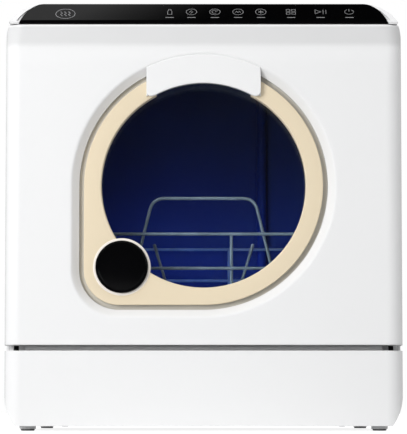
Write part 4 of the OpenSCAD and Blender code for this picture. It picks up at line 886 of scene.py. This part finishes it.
KEY_UP, BAR_UP = 17.2, 6.2
drawings = {
    -36.0: [([(-2.2, -5), (-2.2, 1.5), (-1.2, 3), (-1.2, 5), (1.2, 5), (1.2, 3), (2.2, 1.5), (2.2, -5)], True)],
    -12.9: [(ring(5.6), True), ([(0.5, 3.4), (-2.2, -0.4), (1.6, 0.2), (-0.8, -3.4)], False)],
    12.0: [(ring(5.6), True), (ring(3.0, 1, 60, 300), False), ([(0, 0), (3.2, 2.6)], False)],
    36.6: [(ring(5.6), True), ([(-3, -1.4), (-1.5, 1.2), (0, -1.4), (1.5, 1.2), (3, -1.4)], False)],
    60.9: [(ring(5.6), True), ([(0, 3.2), (0, -3.2)], False), ([(-2.8, 1.6), (2.8, -1.6)], False),
           ([(-2.8, -1.6), (2.8, 1.6)], False)],
    92.9: [([(x - 1.9, y - 1.9), (x + 1.9, y - 1.9), (x + 1.9, y + 1.9), (x - 1.9, y + 1.9)], True)
           for x in (-2.9, 2.9) for y in (-2.9, 2.9)],
    124.2: [([(-5.5, -4), (-5.5, 4), (0.5, 0)], True), ([(3, -4), (3, 4)], False), ([(6, -4), (6, 4)], False)],
    154.9: [(ring(4.6, 1, 118, 422), False), ([(0, 5.4), (0, 0.6)], False)],
}
for x, lines in drawings.items():
    for line, closed in lines:
        draw(line, closed=closed, at=(x, KEY_UP))
    draw([(-4.4, 0), (4.4, 0)], width=0.0009, at=(x, BAR_UP))
RING_AT = (-146.9, 13.4)
draw(ring(10.2, 0.9), closed=True, width=0.0006, at=RING_AT)
wave_up = np.linspace(-4.4, 4.4, 24)
for x in (-4.2, 0, 4.2):
    draw(np.stack([x + 0.9 * np.sin(wave_up * 1.3), wave_up], 1), width=0.0006, at=RING_AT)
surface("touch_symbols", np.concatenate(ink_points), ink_faces, "cabinet", print_ink, smooth=False)
print("symbols:", len(ink_faces), "faces")

# %% [markdown]
# ## Feet
# Each foot is a dark grey pad under a white collar of the base. The pad's lower edge is round, so that from the
# front it reads as a thin dark line. The profile of radius and height is turned about an upright line, four
# times over.

# %% Feet
FOOT_PLACES = [(x, y) for x in (-0.186, 0.186) for y in (-0.185, 0.140)]
FOOT_STEPS = 48
foot_line = np.array([(0, 0), (0.0061, 0)] + arc((0.0061, 0.0014), 0.0014, -80, 0, 7)
                     + [(0.0075, 0.0019), (0.0038, 0.0021), (0.0038, 0.0060), (0, 0.0060)])
turn = np.linspace(0, 2 * np.pi, FOOT_STEPS, endpoint=False)[:, None]
one_foot = np.stack([foot_line[:, 0] * np.cos(turn), foot_line[:, 0] * np.sin(turn), foot_line[:, 1] + 0 * turn], -1)
one_foot = one_foot.reshape(-1, 3)
foot_points = np.concatenate([one_foot + [x, y, 0] for x, y in FOOT_PLACES])
foot_faces = np.concatenate([grid_faces(FOOT_STEPS, len(foot_line), wrap_rows=True) + k * len(one_foot)
                             for k in range(len(FOOT_PLACES))])
pad_grey = finish("pad_grey", (0.16, 0.16, 0.165), rough=0.7, drift=0.06, grain=0.0009, depth=0.00005)
feet = surface("feet", foot_points, foot_faces, "cabinet", pad_grey, merge=0.000001)
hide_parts("foot_pads")
print("feet:", len(FOOT_PLACES))

# %% [markdown]
# ## Rack wires
# The rack is bent steel wire dipped in a grey plastic coat. A wire is a circle carried along a path, and the
# coat makes it look soft: bends are round, tips are domed, and the tips of the tines are a little thicker
# where the coat gathered. A path is a list of corners that a smooth curve rounds off.

# %% Wire helpers
def rounded(corners, bend, closed=False, steps=9):
    """A path through corners. Each corner is swapped for the curve (1-t)^2 A + 2t(1-t) P + t^2 B, with A and B
    at the distance bend before and after the corner P."""
    p = np.asarray(corners, float)
    before, after = np.roll(p, 1, 0) - p, np.roll(p, -1, 0) - p
    size = lambda w: np.maximum(np.linalg.norm(w, axis=1, keepdims=True), 1e-9)
    a, b = p + before / size(before) * bend, p + after / size(after) * bend
    t = np.linspace(0, 1, steps)[None, :, None]
    curve = (1 - t) ** 2 * a[:, None] + 2 * t * (1 - t) * p[:, None] + t ** 2 * b[:, None]
    if closed:
        return curve.reshape(-1, 3)
    return np.concatenate([p[:1], curve[1:-1].reshape(-1, 3), p[-1:]])


def wire(path, radius, normal=None, closed=False, tip=1.0, sides=12):
    """Points and faces of a wire: a circle of this radius square to the path, in the plane of normal and the
    side vector. Open ends close in a dome, and tip swells the last 5 mm of the far end."""
    path = np.asarray(path, float)
    if normal is None:
        run = path[-1] - path[0]
        normal = np.cross(run, np.eye(3)[np.argmin(np.abs(run))])
    if not closed:
        way = lambda w: w / np.linalg.norm(w)
        first, last = way(path[1] - path[0]), way(path[-1] - path[-2])
        phi = np.radians([90, 60, 30, 0])[:, None]
        end_r = radius * tip
        swell = [path[-1] - last * d for d in (0.007, 0.004, 0.0026)] if tip > 1 else []
        head = path[0] + first * radius * (1 - np.sin(phi))
        tail = (path[-1] - last * end_r * (1 - np.sin(phi)))[::-1]
        scale = np.concatenate([radius * np.cos(phi[:, 0]), np.full(len(path) - 2, radius),
                                ([radius, radius * (1 + tip) / 2, end_r] if tip > 1 else []),
                                end_r * np.cos(phi[::-1, 0])])
        path = np.concatenate([head, path[1:-1], np.array(swell).reshape(-1, 3), tail])
        ahead = np.gradient(path, axis=0)
        ahead[:4], ahead[-4:] = first, last
    else:
        ahead = np.roll(path, -1, 0) - np.roll(path, 1, 0)
        scale = np.full(len(path), radius)
    ahead /= np.linalg.norm(ahead, axis=1, keepdims=True)
    up = np.broadcast_to(np.asarray(normal, float) / np.linalg.norm(normal), ahead.shape)
    side = np.cross(ahead, up)
    side /= np.linalg.norm(side, axis=1, keepdims=True)
    up = np.cross(side, ahead)
    a = np.linspace(0, 2 * np.pi, sides, endpoint=False)[None, :, None]
    ring_points = path[:, None] + scale[:, None, None] * (np.cos(a) * side[:, None] + np.sin(a) * up[:, None])
    return ring_points.reshape(-1, 3), grid_faces(len(path), sides, wrap_rows=closed, wrap_cols=True)


def wires(name, parts, body, material):
    """One piece made of many wires."""
    points, faces, base = [], [], 0
    for p, f in parts:
        points.append(p)
        faces.append(f + base)
        base += len(p)
    piece = surface(name, np.concatenate(points), np.concatenate(faces), body, material, merge=0.000001)
    return piece


# %% Rack sizes
MM = 0.001
WIRE_R = 1.7 * MM
HALF, FRONT, BACK = 150 * MM, -145 * MM, 120 * MM
RACK_Z, MID_Z, TOP_Z, HOOP_Z = 140 * MM, 174 * MM, 211 * MM, 251 * MM
LAYER = 2 * WIRE_R - 0.05 * MM
UPRIGHT_X = np.array([-96, 30, 102]) * MM
SIDE_Y = np.array([-95, -12.5, 70]) * MM


def loop(half, front, back, z):
    """A level rectangle of wire with bends of 20 mm."""
    corners = [(half, back, z), (-half, back, z), (-half, front, z), (half, front, z)]
    return wire(rounded(corners, 0.020, closed=True), WIRE_R, normal=(0, 0, 1), closed=True)


line = lambda a, b, r=WIRE_R, tip=1.0: wire(np.linspace(a, b, 5), r, tip=tip)
inset = 2 * WIRE_R
floor_wires = [loop(HALF - inset, FRONT + inset, BACK - inset, RACK_Z)]
floor_wires += [line((i * HALF / 7, FRONT + inset, RACK_Z + LAYER), (i * HALF / 7, BACK - inset, RACK_Z + LAYER))
                for i in range(-6, 7)]
floor_wires += [line((-HALF + inset, y, RACK_Z), (HALF - inset, y, RACK_Z))
                for y in SIDE_Y + np.array([10, 0, -10]) * MM]
rack_floor = wires("rack_floor_wires", floor_wires, "rack", wire_coating)
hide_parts("rack_floor")
print("rack floor:", len(floor_wires), "wires")

# %% Rack sides, tines and hoop
side_wires = [loop(HALF, FRONT, BACK, TOP_Z), loop(HALF, FRONT, BACK, MID_Z)]
low = RACK_Z + WIRE_R + 0.05 * MM
side_wires += [line((x, y, low), (x, y, TOP_Z)) for x in UPRIGHT_X for y in (FRONT + LAYER, BACK - LAYER)]
side_wires += [line((s * (HALF - LAYER), y, low), (s * (HALF - LAYER), y, TOP_Z)) for s in (-1, 1) for y in SIDE_Y]
rack_sides = wires("rack_side_wires", side_wires, "rack", wire_coating)
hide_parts("rack_sides")

TINE_LOW = 143.45 * MM
LEAN = math.tan(math.radians(17))
tines = []
for side in (-1, 1):
    for share, tall in ((0.24, 60 * MM), (0.62, 92 * MM)):
        x = side * HALF * share
        tines.append(line((x, FRONT + 40 * MM, TINE_LOW), (x, BACK - 30 * MM, TINE_LOW)))
        tines += [line((x, y, TINE_LOW), (x + side * tall * LEAN, y, TINE_LOW + tall), r=WIRE_R - 0.2 * MM, tip=1.3)
                  for y in [FRONT + (48 + 33 * i) * MM for i in range(6)]]
rack_tines = wires("rack_tine_wires", tines, "rack", wire_coating)
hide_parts("rack_tines")

hoop_y, hoop_low = FRONT + 18 * MM, TINE_LOW + 2 * WIRE_R
bend_x = (44 + 15 - 15 * 22 / 89.1) * MM
hoop_path = rounded([(-81 * MM, hoop_y, hoop_low), (-bend_x, hoop_y, HOOP_Z), (bend_x, hoop_y, HOOP_Z),
                     (81 * MM, hoop_y, hoop_low)], 13 * MM)
hoop_foot = line((-85 * MM, hoop_y, hoop_low), (85 * MM, hoop_y, hoop_low))
hoop = wires("rack_hoop_wire", [wire(hoop_path, WIRE_R, normal=(0, 1, 0)), hoop_foot], "rack", wire_coating)
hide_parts("rack_hoop")
print("rack:", len(side_wires) + len(tines) + 2, "more wires")

# %% [markdown]
# ## Light in the chamber
# A small warm lamp under the chamber's roof lights the wires, and a blue one low down lights the back wall.

# %% Chamber lamps
soft_lamp("chamber_lamp", (0, -0.125, 0.412), (0, 0.02, 0.12), 0.08, 0.085, (1.0, 0.93, 0.87))
soft_lamp("glow_lamp", (0, 0.02, 0.175), (0, 0.130, 0.165), 0.14, 0.14, (0.10, 0.28, 1.0))
print("chamber lamps: 2")
